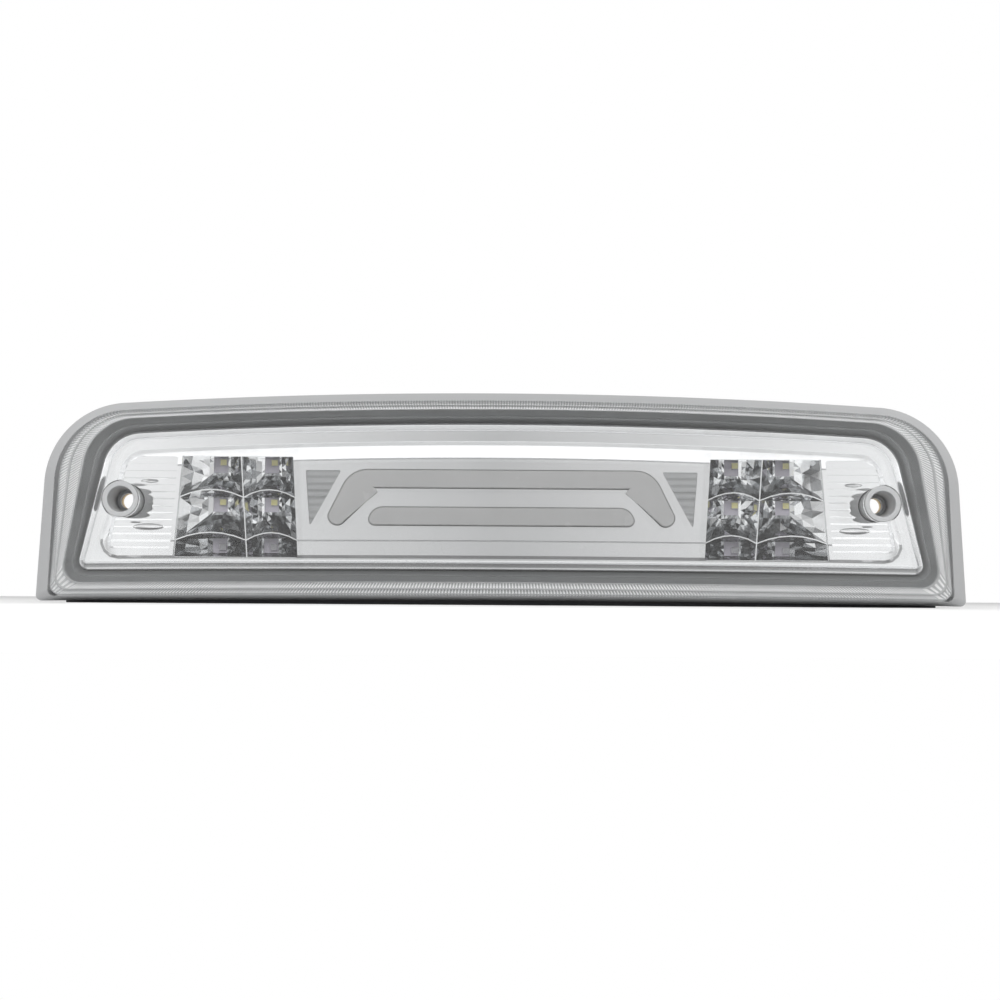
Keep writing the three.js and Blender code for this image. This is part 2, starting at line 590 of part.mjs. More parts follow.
const pillars = pillarSpots.map(([x, z]) => rod(PILLAR_R, boardRear + FIT, canFloor + 0.5, x, z, 12));
const screwHoles = SIDES.map(([, s]) =>
  rod(SCREW_R + BUSHING_WALL + FIT, flangeFront - CUT, flangeRear + CUT, s * SCREW_X, 0, 20));
const ventHole = rod(VENT.stem + FIT, canFloor - CUT, CAN_DEPTH + CUT, VENT.x, VENT.z, 12);
const socketHole = box(
  [SOCKET.x - SOCKET.width / 2 - FIT, SOCKET.x + SOCKET.width / 2 + FIT], [canFloor - CUT, CAN_DEPTH + CUT],
  [SOCKET.z - SOCKET.height / 2 - FIT, SOCKET.z + SOCKET.height / 2 + FIT]);
const housing = union([flange, upstand, can]).subtract(canInside).add(union(pillars))
  .subtract(union([...screwHoles, ventHole, socketHole]));
put("housing", housing, "black");

// ---- gasket: a foam ring round the can, with holes for the screw bushings
const gasket = prism(arched(RIM, -6), flangeRear + FIT, 0)
  .subtract(prism(arched(CAN, 0.6), flangeRear - CUT, CUT))
  .subtract(union(SIDES.map(([, s]) =>
    rod(BUSHING_FLANGE.r + 0.6, flangeRear - CUT, CUT, s * SCREW_X, 0, 20))));
put("gasket", gasket, "foam");

// ---- bushings that take the screw load instead of the plastic
SIDES.forEach(([name, s]) => {
  const r = SCREW_R + BUSHING_WALL;
  const rear = flangeRear + FIT;
  put(`screw_bushing_${name}`, turned([
    [SCREW_R, flangeFront + 0.4], [r, flangeFront + 0.4], [r, rear], [BUSHING_FLANGE.r, rear],
    [BUSHING_FLANGE.r, rear + BUSHING_FLANGE.thick], [SCREW_R, rear + BUSHING_FLANGE.thick],
  ], s * SCREW_X, 0, 20), "brass");
});

// ---- vent cap on the rear of the can
put("vent_cap", rod(VENT.r, CAN_DEPTH + FIT, CAN_DEPTH + VENT.thick, VENT.x, VENT.z, 20)
  .add(rod(VENT.stem, canFloor, CAN_DEPTH + 1, VENT.x, VENT.z, 12)), "rubber");

// ---- connector: a shrouded socket through the rear wall, its seal and its blades
const socketBox = (grow, y) => box(
  [SOCKET.x - SOCKET.width / 2 - grow, SOCKET.x + SOCKET.width / 2 + grow], y,
  [SOCKET.z - SOCKET.height / 2 - grow, SOCKET.z + SOCKET.height / 2 + grow]);
const socketWallRear = CAN_DEPTH + 0.5;
const socketEnd = socketWallRear + SOCKET.depth;
const bladeX = (i) => SOCKET.x + (i - (BLADE.count - 1) / 2) * BLADE.pitch;
const bladeBox = (i, grow, y) => box(
  [bladeX(i) - BLADE.width / 2 - grow, bladeX(i) + BLADE.width / 2 + grow], y,
  [SOCKET.z - BLADE.thick / 2 - grow, SOCKET.z + BLADE.thick / 2 + grow]);
const blades = Array.from({ length: BLADE.count }, (_, i) => i);
const connector = socketBox(0, [canFloor - 1, socketEnd])
  .add(socketBox(2.4, [CAN_DEPTH + FIT + 1.2, CAN_DEPTH + FIT + 3]))
  .subtract(socketBox(-SOCKET.wall, [socketWallRear, socketEnd + CUT]))
  .subtract(union(blades.map((i) => bladeBox(i, FIT, [canFloor - 2, socketWallRear + CUT]))));
put("connector_socket", connector, "black");
put("connector_seal", socketBox(2, [CAN_DEPTH + FIT, CAN_DEPTH + 1.2])
  .subtract(socketBox(FIT, [CAN_DEPTH - CUT, CAN_DEPTH + 3])), "rubber");
blades.forEach((i) =>
  put(`connector_blade_${i + 1}`, bladeBox(i, 0, [boardRear + FIT, socketWallRear + BLADE.reach]), "tin"));

export default lamp;
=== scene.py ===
# %% [markdown]
# # Third brake light
# A pickup cab carries this lamp above its rear window. A clear lens covers a chromed bezel with two
# milky light bars, and a block of six cargo-light cups at each end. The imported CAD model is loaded
# first, as a fixed frame, so that every detailed piece goes where the CAD says.

# %% Load the frame
import math
import random

import bmesh
import bpy
from mathutils import Matrix, Vector


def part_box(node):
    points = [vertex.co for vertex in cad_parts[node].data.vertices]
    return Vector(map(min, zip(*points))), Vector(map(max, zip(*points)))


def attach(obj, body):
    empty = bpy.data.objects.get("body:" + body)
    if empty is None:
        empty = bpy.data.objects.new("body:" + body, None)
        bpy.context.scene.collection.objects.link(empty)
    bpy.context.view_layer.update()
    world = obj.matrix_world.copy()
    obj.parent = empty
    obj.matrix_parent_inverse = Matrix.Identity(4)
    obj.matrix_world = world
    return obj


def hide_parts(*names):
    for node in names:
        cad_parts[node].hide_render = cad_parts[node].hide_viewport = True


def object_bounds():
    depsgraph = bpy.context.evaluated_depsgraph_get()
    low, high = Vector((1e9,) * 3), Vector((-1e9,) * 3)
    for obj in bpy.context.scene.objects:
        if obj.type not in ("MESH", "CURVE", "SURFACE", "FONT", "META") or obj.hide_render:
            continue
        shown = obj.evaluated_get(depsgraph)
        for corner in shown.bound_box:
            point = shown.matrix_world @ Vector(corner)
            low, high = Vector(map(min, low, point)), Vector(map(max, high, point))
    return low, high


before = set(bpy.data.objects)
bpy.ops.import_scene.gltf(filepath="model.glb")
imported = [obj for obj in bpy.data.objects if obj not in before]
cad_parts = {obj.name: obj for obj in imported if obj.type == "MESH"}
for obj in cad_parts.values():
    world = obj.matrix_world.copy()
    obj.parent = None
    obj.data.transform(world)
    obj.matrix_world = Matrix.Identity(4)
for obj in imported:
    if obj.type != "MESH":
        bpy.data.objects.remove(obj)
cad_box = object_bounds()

print("CAD nodes:", len(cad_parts))

# %% [markdown]
# ## Camera
# The lamp is seen almost straight on, from a little below its middle and a few steps away. A long
# lens keeps the left and right ends the same size. The camera is aimed by building its rotation
# from the direction it looks along, and a very small roll levels the picture.

# %% Camera
MM = 0.001
VIEW_RISE = math.radians(3)
VIEW_ROLL = math.radians(0.38)
CAMERA_DISTANCE = 0.8
aim = Vector((0, -4 * MM, 1.5 * MM))
look = Vector((0, math.cos(VIEW_RISE), math.sin(VIEW_RISE)))
camera = bpy.data.objects.new("camera", bpy.data.cameras.new("camera"))
bpy.context.scene.collection.objects.link(camera)
roll = Matrix.Rotation(VIEW_ROLL, 3, "Z")
turn = (look.to_track_quat("-Z", "Y").to_matrix() @ roll).to_4x4()
camera.matrix_world = Matrix.Translation(aim - look * CAMERA_DISTANCE) @ turn
camera.data.sensor_width = 36
camera.data.lens = 66.96
camera.data.shift_x = -0.0015
camera.data.shift_y = 0.0005
bpy.context.scene.camera = camera
print("camera at", [round(v, 4) for v in camera.location])

# %% [markdown]
# ## Small helpers
# Modelling by operators means selecting first and acting second. These few helpers select one
# object, open it for editing and select what lies at a place, so that each later cell stays short.

# %% Select and edit
MERGE = 0.00001


def only(piece):
    bpy.ops.object.select_all(action="DESELECT")
    piece.select_set(True)
    bpy.context.view_layer.objects.active = piece


def edit(piece, mode="FACE"):
    only(piece)
    bpy.ops.object.mode_set(mode="EDIT")
    bpy.ops.mesh.select_mode(type=mode)
    bpy.ops.mesh.select_all(action="DESELECT")
    return bmesh.from_edit_mesh(piece.data)


def finish_edit():
    bpy.ops.object.mode_set(mode="OBJECT")


def select_faces(piece, test):
    """Selects the faces whose middle (in mm) and normal pass the test, in edit mode."""
    net = bmesh.from_edit_mesh(piece.data)
    for face in net.faces:
        face.select_set(bool(test(face.calc_center_median() / MM, face.normal)))
    net.select_flush_mode()
    bmesh.update_edit_mesh(piece.data)


def fix_normals(piece):
    edit(piece)
    bpy.ops.mesh.select_all(action="SELECT")
    bpy.ops.mesh.normals_make_consistent(inside=False)
    finish_edit()


print("points closer than", MERGE / MM, "mm are merged")

# %% [markdown]
# ## Modifiers and smooth shading
# A modifier is added with its settings and applied at once, so that the mesh is final and the next
# edit works on what is seen. Shading is smooth up to an angle, and the large flat faces are then
# given the say over the normals at their edges, which keeps flat chrome from looking swollen.

# %% Apply and smooth
def apply(piece, kind, **settings):
    """Adds a modifier with its settings and applies it."""
    only(piece)
    step = piece.modifiers.new(kind.title(), kind)
    for key, value in settings.items():
        setattr(step, key, value)
    bpy.ops.object.modifier_apply(modifier=step.name)


def smooth(piece, angle=30):
    """Shades smooth up to an angle in degrees, with weighted normals."""
    only(piece)
    bpy.ops.object.shade_smooth_by_angle(angle=math.radians(angle))
    apply(piece, "WEIGHTED_NORMAL", weight=100, keep_sharp=True)


# %% [markdown]
# ## Outlines
# Every large outline of the lamp has the same shape: a trapezium with an arched top and bottom and
# rounded corners. It is worked out once, as points, because no operator draws an arc of 2.5 metres
# radius exactly. Each outline has the same number of points, so that two of them can be bridged.
# The outlines lie one inside the other: rim, face, prism band, bezel, tray and centre panel.

# %% Outline sizes
KEYS = ("half_bottom", "half_top", "bottom", "top", "r_bottom", "r_top")
lens_low, lens_high = (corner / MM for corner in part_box("outer_lens"))


def shape(half_bottom, half_top, bottom, top, r_bottom, r_top):
    return dict(zip(KEYS, (half_bottom, half_top, bottom, top, r_bottom, r_top)))


def inside(outer, side, side_top, bottom, top, r_bottom, r_top):
    return shape(outer["half_bottom"] - side, outer["half_top"] - side_top, outer["bottom"] + bottom,
                 outer["top"] - top, r_bottom, r_top)


def between(a, b, t):
    return {key: a[key] + (b[key] - a[key]) * t for key in KEYS}


RIM = shape(lens_high.x, lens_high.x - 4.6, -41.4, lens_high.z, 2.5, 36)
FACE = inside(RIM, 8.7, 7.4, 1.8, 4.7, 3, 31)
BAND = inside(FACE, 5.2, 14, 5.8, 3.6, 7, 22)
BEZEL = inside(BAND, 4.2, 5.5, 5.2, 4.8, 4, 17)
DECK = inside(BEZEL, 8.1, 8.2, 5.4, 8.6, 7, 9.5)
PANEL = inside(DECK, 4, 2.2, 6.9, 6.3, 3, 6)
print("lens is", round(lens_high.x - lens_low.x, 1), "mm wide")

# %% Outline points
TOP_ARCH = 2560.0
BOTTOM_ARCH = 14000.0
SMALLEST_ROUND = 0.5
COARSE = {"corner": 4, "side": 4, "shoulder": 16, "along": 40}


def fillet(before, at, after, radius, steps):
    """Points of the arc that rounds a corner, anticlockwise."""
    back, ahead = (before - at).normalized(), (after - at).normalized()
    half = back.angle(ahead) / 2
    start = at + back * (radius / math.tan(half))
    centre = at + (back + ahead).normalized() * (radius / math.sin(half))
    arc = []
    for i in range(steps + 1):
        swing = Matrix.Rotation((math.pi - 2 * half) * i / steps, 2)
        arc.append(centre + swing @ (start - centre))
    return arc


def arched(spec, grow=0.0, steps=COARSE):
    """One arched outline, moved outwards by grow, as (x, z) points in mm."""
    half_top, half_bottom = spec["half_top"] + grow, spec["half_bottom"] + grow

    def top(x):
        return spec["top"] + grow - x * x / (2 * TOP_ARCH)

    def bottom(x):
        return spec["bottom"] - grow - x * x / (2 * BOTTOM_ARCH)

    high, low = Vector((half_top, top(half_top))), Vector((half_bottom, bottom(half_bottom)))
    crown = Vector((0, high.y + half_top ** 2 / TOP_ARCH))
    foot = Vector((0, low.y + half_bottom ** 2 / BOTTOM_ARCH))
    lower = fillet(foot, low, high, max(spec["r_bottom"] + grow, SMALLEST_ROUND), steps["corner"])
    upper = fillet(low, high, crown, max(spec["r_top"] + grow, SMALLEST_ROUND), steps["shoulder"])
    side = [lower[-1].lerp(upper[0], i / steps["side"]) for i in range(1, steps["side"])]

    def arc(start, height):
        xs = [start.x * (1 - 2 * i / steps["along"]) for i in range(1, steps["along"])]
        return [Vector((x, start.y + height(x) - height(start.x))) for x in xs]

    right = lower + side + upper
    left = [Vector((-p.x, p.y)) for p in reversed(right)]
    return right + arc(upper[-1], top) + left + arc(Vector((-lower[0].x, lower[0].y)), bottom)


print("points in an outline:", len(arched(RIM)))

# %% [markdown]
# ## Lofting by bridging
# A lamp part of this kind is a stack of outlines at different depths. Each outline is drawn as a
# loop of edges, neighbouring loops are bridged, and the two ends are filled or joined to each other.
# Bridging starts at the nearest points, which may slip sideways by one. Where a rib or a facet must
# run straight from loop to loop, the columns are kept and the faces laid on them instead.

# %% Draw loops of edges
def draw_loops(name, loops):
    """A mesh object with one loop of edges for each (points, depth) in mm."""
    corners, edges = [], []
    for points, depth in loops:
        first, count = len(corners), len(points)
        depths = depth if isinstance(depth, list) else [depth] * count
        corners += [(p[0] * MM, d * MM, p[1] * MM) for p, d in zip(points, depths)]
        edges += [(first + i, first + (i + 1) % count) for i in range(count)]
    drawn = bpy.data.meshes.new(name)
    drawn.from_pydata(corners, edges, [])
    piece = bpy.data.objects.new(name, drawn)
    bpy.context.scene.collection.objects.link(piece)
    return piece


# %% Bridge the loops
def loft(name, loops, ends="FILL", keep_columns=False):
    """Bridges each loop to the next, then fills both end loops, or joins the last to the first."""
    piece = draw_loops(name, loops)
    count, last = len(loops[0][0]), len(loops) - 1
    net = edit(piece, "EDGE")
    net.verts.ensure_lookup_table()
    points = net.verts[:]
    rims = [[] for _ in loops]
    for edge in net.edges:
        rims[edge.verts[0].index // count].append(edge)

    def act(operator, *chosen):
        for rim in chosen:
            for edge in rims[rim]:
                edge.select_set(True)
        operator()
        bpy.ops.mesh.select_all(action="DESELECT")

    for a, b in [(k, k + 1) for k in range(last)] + ([(last, 0)] if ends == "JOIN" else []):
        if keep_columns:
            for i in range(count):
                j = (i + 1) % count
                corners = (a * count + i, a * count + j, b * count + j, b * count + i)
                net.faces.new([points[n] for n in corners])
        else:
            act(bpy.ops.mesh.bridge_edge_loops, a, b)
    if ends == "FILL":
        act(bpy.ops.mesh.edge_face_add, 0)
        act(bpy.ops.mesh.edge_face_add, last)
    bpy.ops.mesh.select_mode(type="FACE")
    bpy.ops.mesh.select_all(action="SELECT")
    bpy.ops.mesh.normals_make_consistent(inside=False)
    finish_edit()
    return piece


# %% [markdown]
# ## Joining and cutting
# Openings are cut with a boolean, as a toolmaker's cutter would leave them. A cutter is used once
# and removed. Round holes are cut with a plain rod laid along the lamp's depth.

# %% Join, cut and drill
def join(name, pieces):
    bpy.ops.object.select_all(action="DESELECT")
    for piece in pieces:
        piece.select_set(True)
    bpy.context.view_layer.objects.active = pieces[0]
    if len(pieces) > 1:
        bpy.ops.object.join()
    pieces[0].name = name
    return pieces[0]


def boolean(piece, cutter, operation="DIFFERENCE"):
    apply(piece, "BOOLEAN", object=cutter, operation=operation, solver="EXACT")
    bpy.data.objects.remove(cutter)


def rod(name, radius, front, rear, x, z=0.0, sides=48):
    """A round bar along the lamp's depth, from front to rear, in mm."""
    bpy.ops.object.select_all(action="DESELECT")
    bpy.ops.mesh.primitive_cylinder_add(
        vertices=sides, radius=radius * MM, depth=(rear - front) * MM,
        location=(x * MM, (front + rear) / 2 * MM, z * MM), rotation=(math.pi / 2, 0, 0))
    bar = bpy.context.active_object
    bar.name = name
    bpy.ops.object.transform_apply(location=True, rotation=True, scale=True)
    return bar


# %% [markdown]
# ## Materials
# A material starts from what the real one is and how its surface was made. One function turns an
# sRGB hex colour to linear, and one adds a node with its settings and links. A third makes a shader
# whose colour, roughness and relief all follow one noise, because wear, dust and mould grain change
# them together. The grain of each material is given in millimetres.

# %% Colours and nodes
def linear(code):
    """An sRGB hex colour as a linear one with alpha."""
    parts = [int(code[i:i + 2], 16) / 255 for i in (0, 2, 4)]
    return tuple([p / 12.92 if p <= 0.04045 else ((p + 0.055) / 1.055) ** 2.4 for p in parts] + [1])


def add(tree, kind, settings=None, links=None):
    """A node with its settings, and its inputs linked to other nodes' outputs."""
    node = tree.nodes.new(kind)
    for key, value in (settings or {}).items():
        if isinstance(key, str) and hasattr(node, key):
            setattr(node, key, value)
        else:
            node.inputs[key].default_value = value
    for key, source in (links or {}).items():
        tree.links.new(source, node.inputs[key])
    return node


print("mid grey is", round(linear("808080")[0], 3), "when linear")

# %% One surface
def surface(name, shades, rough, grain, bump=0.0, stretch=(1, 1, 1), **sockets):
    """A Principled material whose colour, roughness and bump follow one noise of grain mm.
    shades and rough are each (low, high); sockets are set on the shader itself."""
    made = bpy.data.materials.new(name)
    made.use_nodes = True
    tree = made.node_tree
    shader = tree.nodes["Principled BSDF"]
    place = add(tree, "ShaderNodeTexCoord")
    scaled = add(tree, "ShaderNodeMapping", {"Scale": stretch}, {"Vector": place.outputs["Object"]})
    noise = add(tree, "ShaderNodeTexNoise", {"Scale": 1000 / grain, "Detail": 3.0},
                {"Vector": scaled.outputs[0]})
    tint = add(tree, "ShaderNodeMix", {"data_type": "RGBA", 6: linear(shades[0]), 7: linear(shades[1])},
               {0: noise.outputs["Fac"]})
    tree.links.new(tint.outputs[2], shader.inputs["Base Color"])
    spread = add(tree, "ShaderNodeMapRange", {"To Min": rough[0], "To Max": rough[1]},
                 {"Value": noise.outputs["Fac"]})
    tree.links.new(spread.outputs[0], shader.inputs["Roughness"])
    if bump:
        relief = add(tree, "ShaderNodeBump", {"Strength": 1.0, "Distance": bump * MM},
                     {"Height": noise.outputs["Fac"]})
        tree.links.new(relief.outputs[0], shader.inputs["Normal"])
    for key, value in sockets.items():
        shader.inputs[key.replace("_", " ")].default_value = value
    return made


# %% [markdown]
# ## Light through the lens
# A renderer treats a clear moulding as solid when it looks for shadows, and what lies behind it
# goes dark. Here the shadow rays pass the clear plastic and lose a tenth, as in real polycarbonate.

# %% Let the light in
THROUGH = 0.9


def lets_light_in(made):
    """Lets shadow rays through a clear material."""
    tree = made.node_tree
    path = add(tree, "ShaderNodeLightPath")
    through = add(tree, "ShaderNodeBsdfTransparent", {"Color": (THROUGH, THROUGH, THROUGH, 1)})
    plastic = tree.nodes["Principled BSDF"]
    either = add(tree, "ShaderNodeMixShader", None, {
        0: path.outputs["Is Shadow Ray"], 1: plastic.outputs[0], 2: through.outputs[0]})
    tree.links.new(either.outputs[0], tree.nodes["Material Output"].inputs["Surface"])


print("share of light that passes the clear plastic:", THROUGH)

# %% Clear and frosted plastic
# Polycarbonate, injection moulded in a polished tool: water-clear, with a very faint waviness.
clear_pc = surface("polycarbonate_clear_moulded", ("FAFBFB", "FFFFFF"), (0.0, 0.02), 30,
                   IOR=1.585, Transmission_Weight=1.0)
lets_light_in(clear_pc)
# The same plastic where the tool cut prisms. Real prisms throw the light back at the eye and look white,
# so the ribs are painted nearly opaque white as a painted reflection. One flank of each rib and the
# hollows of the ring are given a little painted shade.
ribbed_pc = surface("polycarbonate_prism_ribs_painted_reflection", ("FAFBFB", "FFFFFF"), (0.1, 0.2), 2,
                    IOR=1.585, Transmission_Weight=0.05)
prism_shade_pc = surface("polycarbonate_prism_painted_shade", ("C6C7C8", "D0D1D2"), (0.1, 0.2), 2,
                    IOR=1.585, Transmission_Weight=0.1)
# The skirt comes from a spark-eroded part of the tool. Its grain of about 0.05 mm is too fine to
# show and is drawn at 1.2 mm; it scatters the light, so the skirt is an even soft grey.
frosted_pc = surface("polycarbonate_frosted_skirt", ("B2B3B4", "BABBBC"), (0.42, 0.5), 1.2, 0.01,
                     IOR=1.585, Transmission_Weight=0.2)
lets_light_in(frosted_pc)
# The screw sleeves have the same grain on a thick wall, where the light spreads inside and glows.
sleeve_pc = surface("polycarbonate_frosted_sleeve", ("B2B3B4", "BCBDBE"), (0.34, 0.46), 1.5, 0.01,
                    IOR=1.585, Subsurface_Weight=0.8, Subsurface_Radius=(1, 1, 1),
                    Subsurface_Scale=0.003)
# The light bars are moulded in milk-white polycarbonate with a glossy skin: a flat, unlit grey
# with a soft sheen.
opal_pc = surface("polycarbonate_opal_diffuser", ("B8B8B8", "C0C0C0"), (0.22, 0.3), 12,
                  IOR=1.585, Coat_Weight=0.3)
print("plastics:", len(bpy.data.materials))

# %% Metallised and painted plastic
# Aluminium vapour on a polished moulding, under a clear film: a mirror with hardly any colour.
chrome = surface("vacuum_metallised_aluminium", ("EDEEEF", "F6F6F7"), (0.03, 0.06), 40, Metallic=1.0)
# The same mirror in the cups. A facet that looks at a dark wall or at another facet passes on what it
# sees there, and here that reflection is painted in: one bright film and three darker copies of it, which
# are painted shade and painted reflection.
cup_chrome = surface("vacuum_metallised_cup_bright", ("EAEBEC", "F8F9FA"), (0.03, 0.08), 6, Metallic=1.0)
painted_half_shade_cup = surface("vacuum_metallised_cup_painted_half_shade", ("A6A8AA", "C2C4C6"), (0.06, 0.14), 4,
                  Metallic=1.0)
painted_shade_cup = surface("vacuum_metallised_cup_painted_shade", ("808284", "9A9C9E"), (0.08, 0.16), 3, Metallic=1.0)
painted_dark_cup = surface("vacuum_metallised_cup_painted_dark_reflection", ("1C1D20", "323437"), (0.08, 0.16), 2, Metallic=1.0)
# Silver paint sprayed over the surround. Its flakes, about 0.03 mm wide, are drawn at 0.8 mm: they
# blur what is mirrored into a satin grey.
satin_paint = surface("satin_silver_paint", ("969899", "A2A4A5"), (0.3, 0.38), 0.8, 0.003,
                      Metallic=0.55)
# Aluminium vapour on a grained moulding. The grain, about 0.1 mm, is drawn at 0.6 mm and greys the
# mirror of the two insets.
grained_chrome = surface("vacuum_metallised_grained", ("B2B3B4", "BEBFC0"), (0.3, 0.4), 0.6, 0.01,
                         Metallic=1.0)
print("with metallised and painted plastic:", len(bpy.data.materials))

# %% Housing, seals and wires
# White ABS, moulded with a dull skin, so that the light box loses little light.
white_abs = surface("white_light_box_plastic", ("E2E2DF", "ECECE9"), (0.45, 0.55), 3)
# Lacquer printed on the circuit board: thin, even and half glossy.
solder_mask = surface("circuit_board_grey_lacquer", ("C0BCC8", "D0CCD6"), (0.35, 0.5), 2)
# Black ABS from a grained tool. The grain, about 0.1 mm, is drawn at 0.7 mm: a dull charcoal.
black_abs = surface("black_moulded_abs_grain", ("4A4B4D", "565759"), (0.5, 0.65), 0.7, 0.02)
# Closed-cell foam, cut from sheet: its open outer cells, about 0.9 mm, swallow nearly all light.
foam = surface("closed_cell_foam", ("222223", "303031"), (0.9, 1.0), 0.9, 0.12)
# Moulded rubber: black and dull, with a faint bloom.
rubber = surface("black_rubber", ("1E1E1F", "282829"), (0.75, 0.85), 1.5, 0.02)
# Brass turned on a lathe: yellow, with fine tool lines round it.
brass = surface("turned_brass", ("BFA064", "CDB076"), (0.25, 0.4), 0.6, stretch=(1, 8, 1), Metallic=1.0)
# Brass strip plated with tin and then stamped: a soft grey mirror, faintly banded.
tinned = surface("tin_plated_brass", ("B4B6B9", "C4C6C9"), (0.25, 0.38), 0.8, stretch=(1, 6, 1),
                 Metallic=1.0)
# Soft PVC, extruded round the wire: an even red with a dull shine.
red_wire = surface("red_pvc_wire", ("76201D", "8A2A26"), (0.4, 0.5), 1.5)
print("with housing, seals and wires:", len(bpy.data.materials))

# %% LED plastics and gels
# The package is a white heat-proof plastic, moulded: a dull white, painted darker here as painted shade
# for the shade of its cup.
led_body_painted_shade = surface("led_package_white_ppa_painted_shade", ("B4B0BA", "C2BEC8"), (0.35, 0.45), 1)
# Silicone gel poured over the chip, glossy. Phosphor turns it yellow in a white LED, the lowest
# row's is unfilled and shows a grey chip through, and a red LED's is dyed.
phosphor = surface("yellow_phosphor_gel", ("E2DC98", "ECE6AC"), (0.25, 0.35), 0.8)
clear_gel = surface("clear_silicone_gel", ("A2A2A6", "B6B6BA"), (0.15, 0.25), 0.8)
red_gel = surface("red_led_gel", ("A6574E", "B46A60"), (0.25, 0.35), 0.8)
print("materials:", len(bpy.data.materials))

# %% [markdown]
# ## Painting and placing
# A finished piece gets its materials, and the CAD nodes it stands for are hidden. The lamp has no moving
# part, so every piece rides on the one body, the root.

# %% Paint and place a piece
def paint(piece, *materials):
    piece.data.materials.clear()
    for made in materials:
        piece.data.materials.append(made)


def install(piece, slot, *nodes):
    """Hides the CAD nodes the finished piece stands for and puts it on the body it rides on; slot is not
    used.
    """
    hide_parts(*nodes)
    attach(piece, "root")
    print(piece.name, "faces:", len(piece.data.polygons))


# %% [markdown]
# ## Lens
# One clear moulding: a flat face, a rounded edge and a flared skirt. Behind the edge of the face
# runs a ring of fine prisms in two bands, each band a shallow pillow crossed by ribs. The ring is
# drawn with an outline point at each rib's crest and valley. The columns are kept, so that every
# crest runs straight over the pillow, and the ribs are real geometry that also shows at the edge.

# %% Lens sizes
lens_front, lens_rear = lens_low.y, lens_high.y
LENS_WALL = 2.5
LENS_ROUND = 1.4
FACE_DEPTH = 17
draft_end = lens_front + FACE_DEPTH
inner_face = lens_front + LENS_WALL
RIB_PITCH = 1.2
RIB_HEIGHT = 0.2
PILLOW = 0.8
BANDS = ((0.16, 0.5), (0.52, 0.97))
PILLOW_CURVE = ((0, 0), (0.12, 0.45), (0.32, 0.85), (0.5, 1), (0.68, 0.85), (0.88, 0.45), (1, 0))
# Rough lengths of a side, a shoulder and the long edge in mm, shared out in crests and valleys.
FINE = {"corner": 10, "side": 2 * round(48 / RIB_PITCH), "shoulder": 2 * round(36 / RIB_PITCH),
        "along": 2 * round(330 / RIB_PITCH)}
print("ribs in the ring:", len(arched(FACE, 0, FINE)) // 2)


# %% Lens loops
def ribbed(spec, lift, height):
    """An outline whose every second point stands back by height, as rib after rib."""
    points = arched(spec, 0, FINE)
    return points, [inner_face + lift + (height if i % 2 else 0) for i in range(len(points))]


loops = [
    (arched(FACE, -LENS_ROUND, FINE), lens_front),
    (arched(FACE, -0.55, FINE), lens_front + 0.28),
    (arched(FACE, -0.12, FINE), lens_front + 0.75),
    (arched(FACE, 0, FINE), lens_front + LENS_ROUND),
    (arched(RIM, 0, FINE), draft_end),
    (arched(RIM, 0, FINE), lens_rear),
    (arched(RIM, -LENS_WALL, FINE), lens_rear),
    (arched(RIM, -LENS_WALL, FINE), draft_end),
    (arched(FACE, -LENS_WALL, FINE), inner_face + 0.6),
]
for low, high in BANDS:
    for t, rise in PILLOW_CURVE:
        spec = between(FACE, BAND, low + (high - low) * t)
        loops.append(ribbed(spec, PILLOW * rise, 0 if t in (0, 1) else RIB_HEIGHT))
loops.append((arched(BAND, 0, FINE), inner_face))
lens = loft("lens_clear", loops, keep_columns=True)
print("lens loops:", len(loops))

# %% [markdown]
# ## Finishes of the lens
# One moulding has three finishes: a clear face, the prisms and the frosted skirt. The prisms are painted
# white as a painted reflection, with painted shade on one flank of each rib and low in the ring. A face
# of the mesh gets its finish by the outlines it lies between, before the holes for the screw sleeves are
# cut, because the cut numbers the corners anew.

# %% Lens finishes
CLEAR, RIB, FROSTED, PRISM_SHADE = range(4)
SKIRT_ROWS = {3, 4, 5, 6, 7, 8}
FIRST_RIB_ROW = 9
PRISM_SHADE_DEPTH = 0.25
paint(lens, clear_pc, ribbed_pc, frosted_pc, prism_shade_pc)
columns = len(arched(FACE, 0, FINE))
for face in lens.data.polygons:
    rows = {v // columns for v in face.vertices}
    if len(face.vertices) == 4 and rows <= SKIRT_ROWS:
        face.material_index = FROSTED
    elif len(face.vertices) == 4 and min(rows) >= FIRST_RIB_ROW:
        # One flank of each rib and the faces low in the ring get painted shade; the other ribs are
        # painted white as a painted reflection.
        shaded_flank = min(v % columns for v in face.vertices) % 2
        face.material_index = PRISM_SHADE if shaded_flank or face.center.y / MM < inner_face + PRISM_SHADE_DEPTH else RIB
finishes = [face.material_index for face in lens.data.polygons]
print("faces clear, rib, frosted, valley:", [finishes.count(n) for n in (CLEAR, RIB, FROSTED, PRISM_SHADE)])

# %% Holes for the screw sleeves
sleeve_low, sleeve_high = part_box("screw_sleeve_right")
SCREW_X = (sleeve_low.x + sleeve_high.x) / 2 / MM
SLEEVE_FRONT_R = (sleeve_high.z - sleeve_low.z) / 2 / MM
for side in (-1, 1):
    boolean(lens, rod("hole", SLEEVE_FRONT_R + 0.3, lens_front - 2, inner_face + 3, side * SCREW_X))
smooth(lens, 20)
print("screw sleeves at x", round(SCREW_X, 2), "mm, radius", round(SLEEVE_FRONT_R, 2))
install(lens, "clear_lens", "outer_lens")

# %% [markdown]
# ## Surround
# A satin band falls in two facets from the end of the prisms to the bezel. A thin raised bead
# between the facets catches the light, and a wide foot behind it rests on the housing wall. Only
# the band is painted; the foot is left in the white of its plastic.

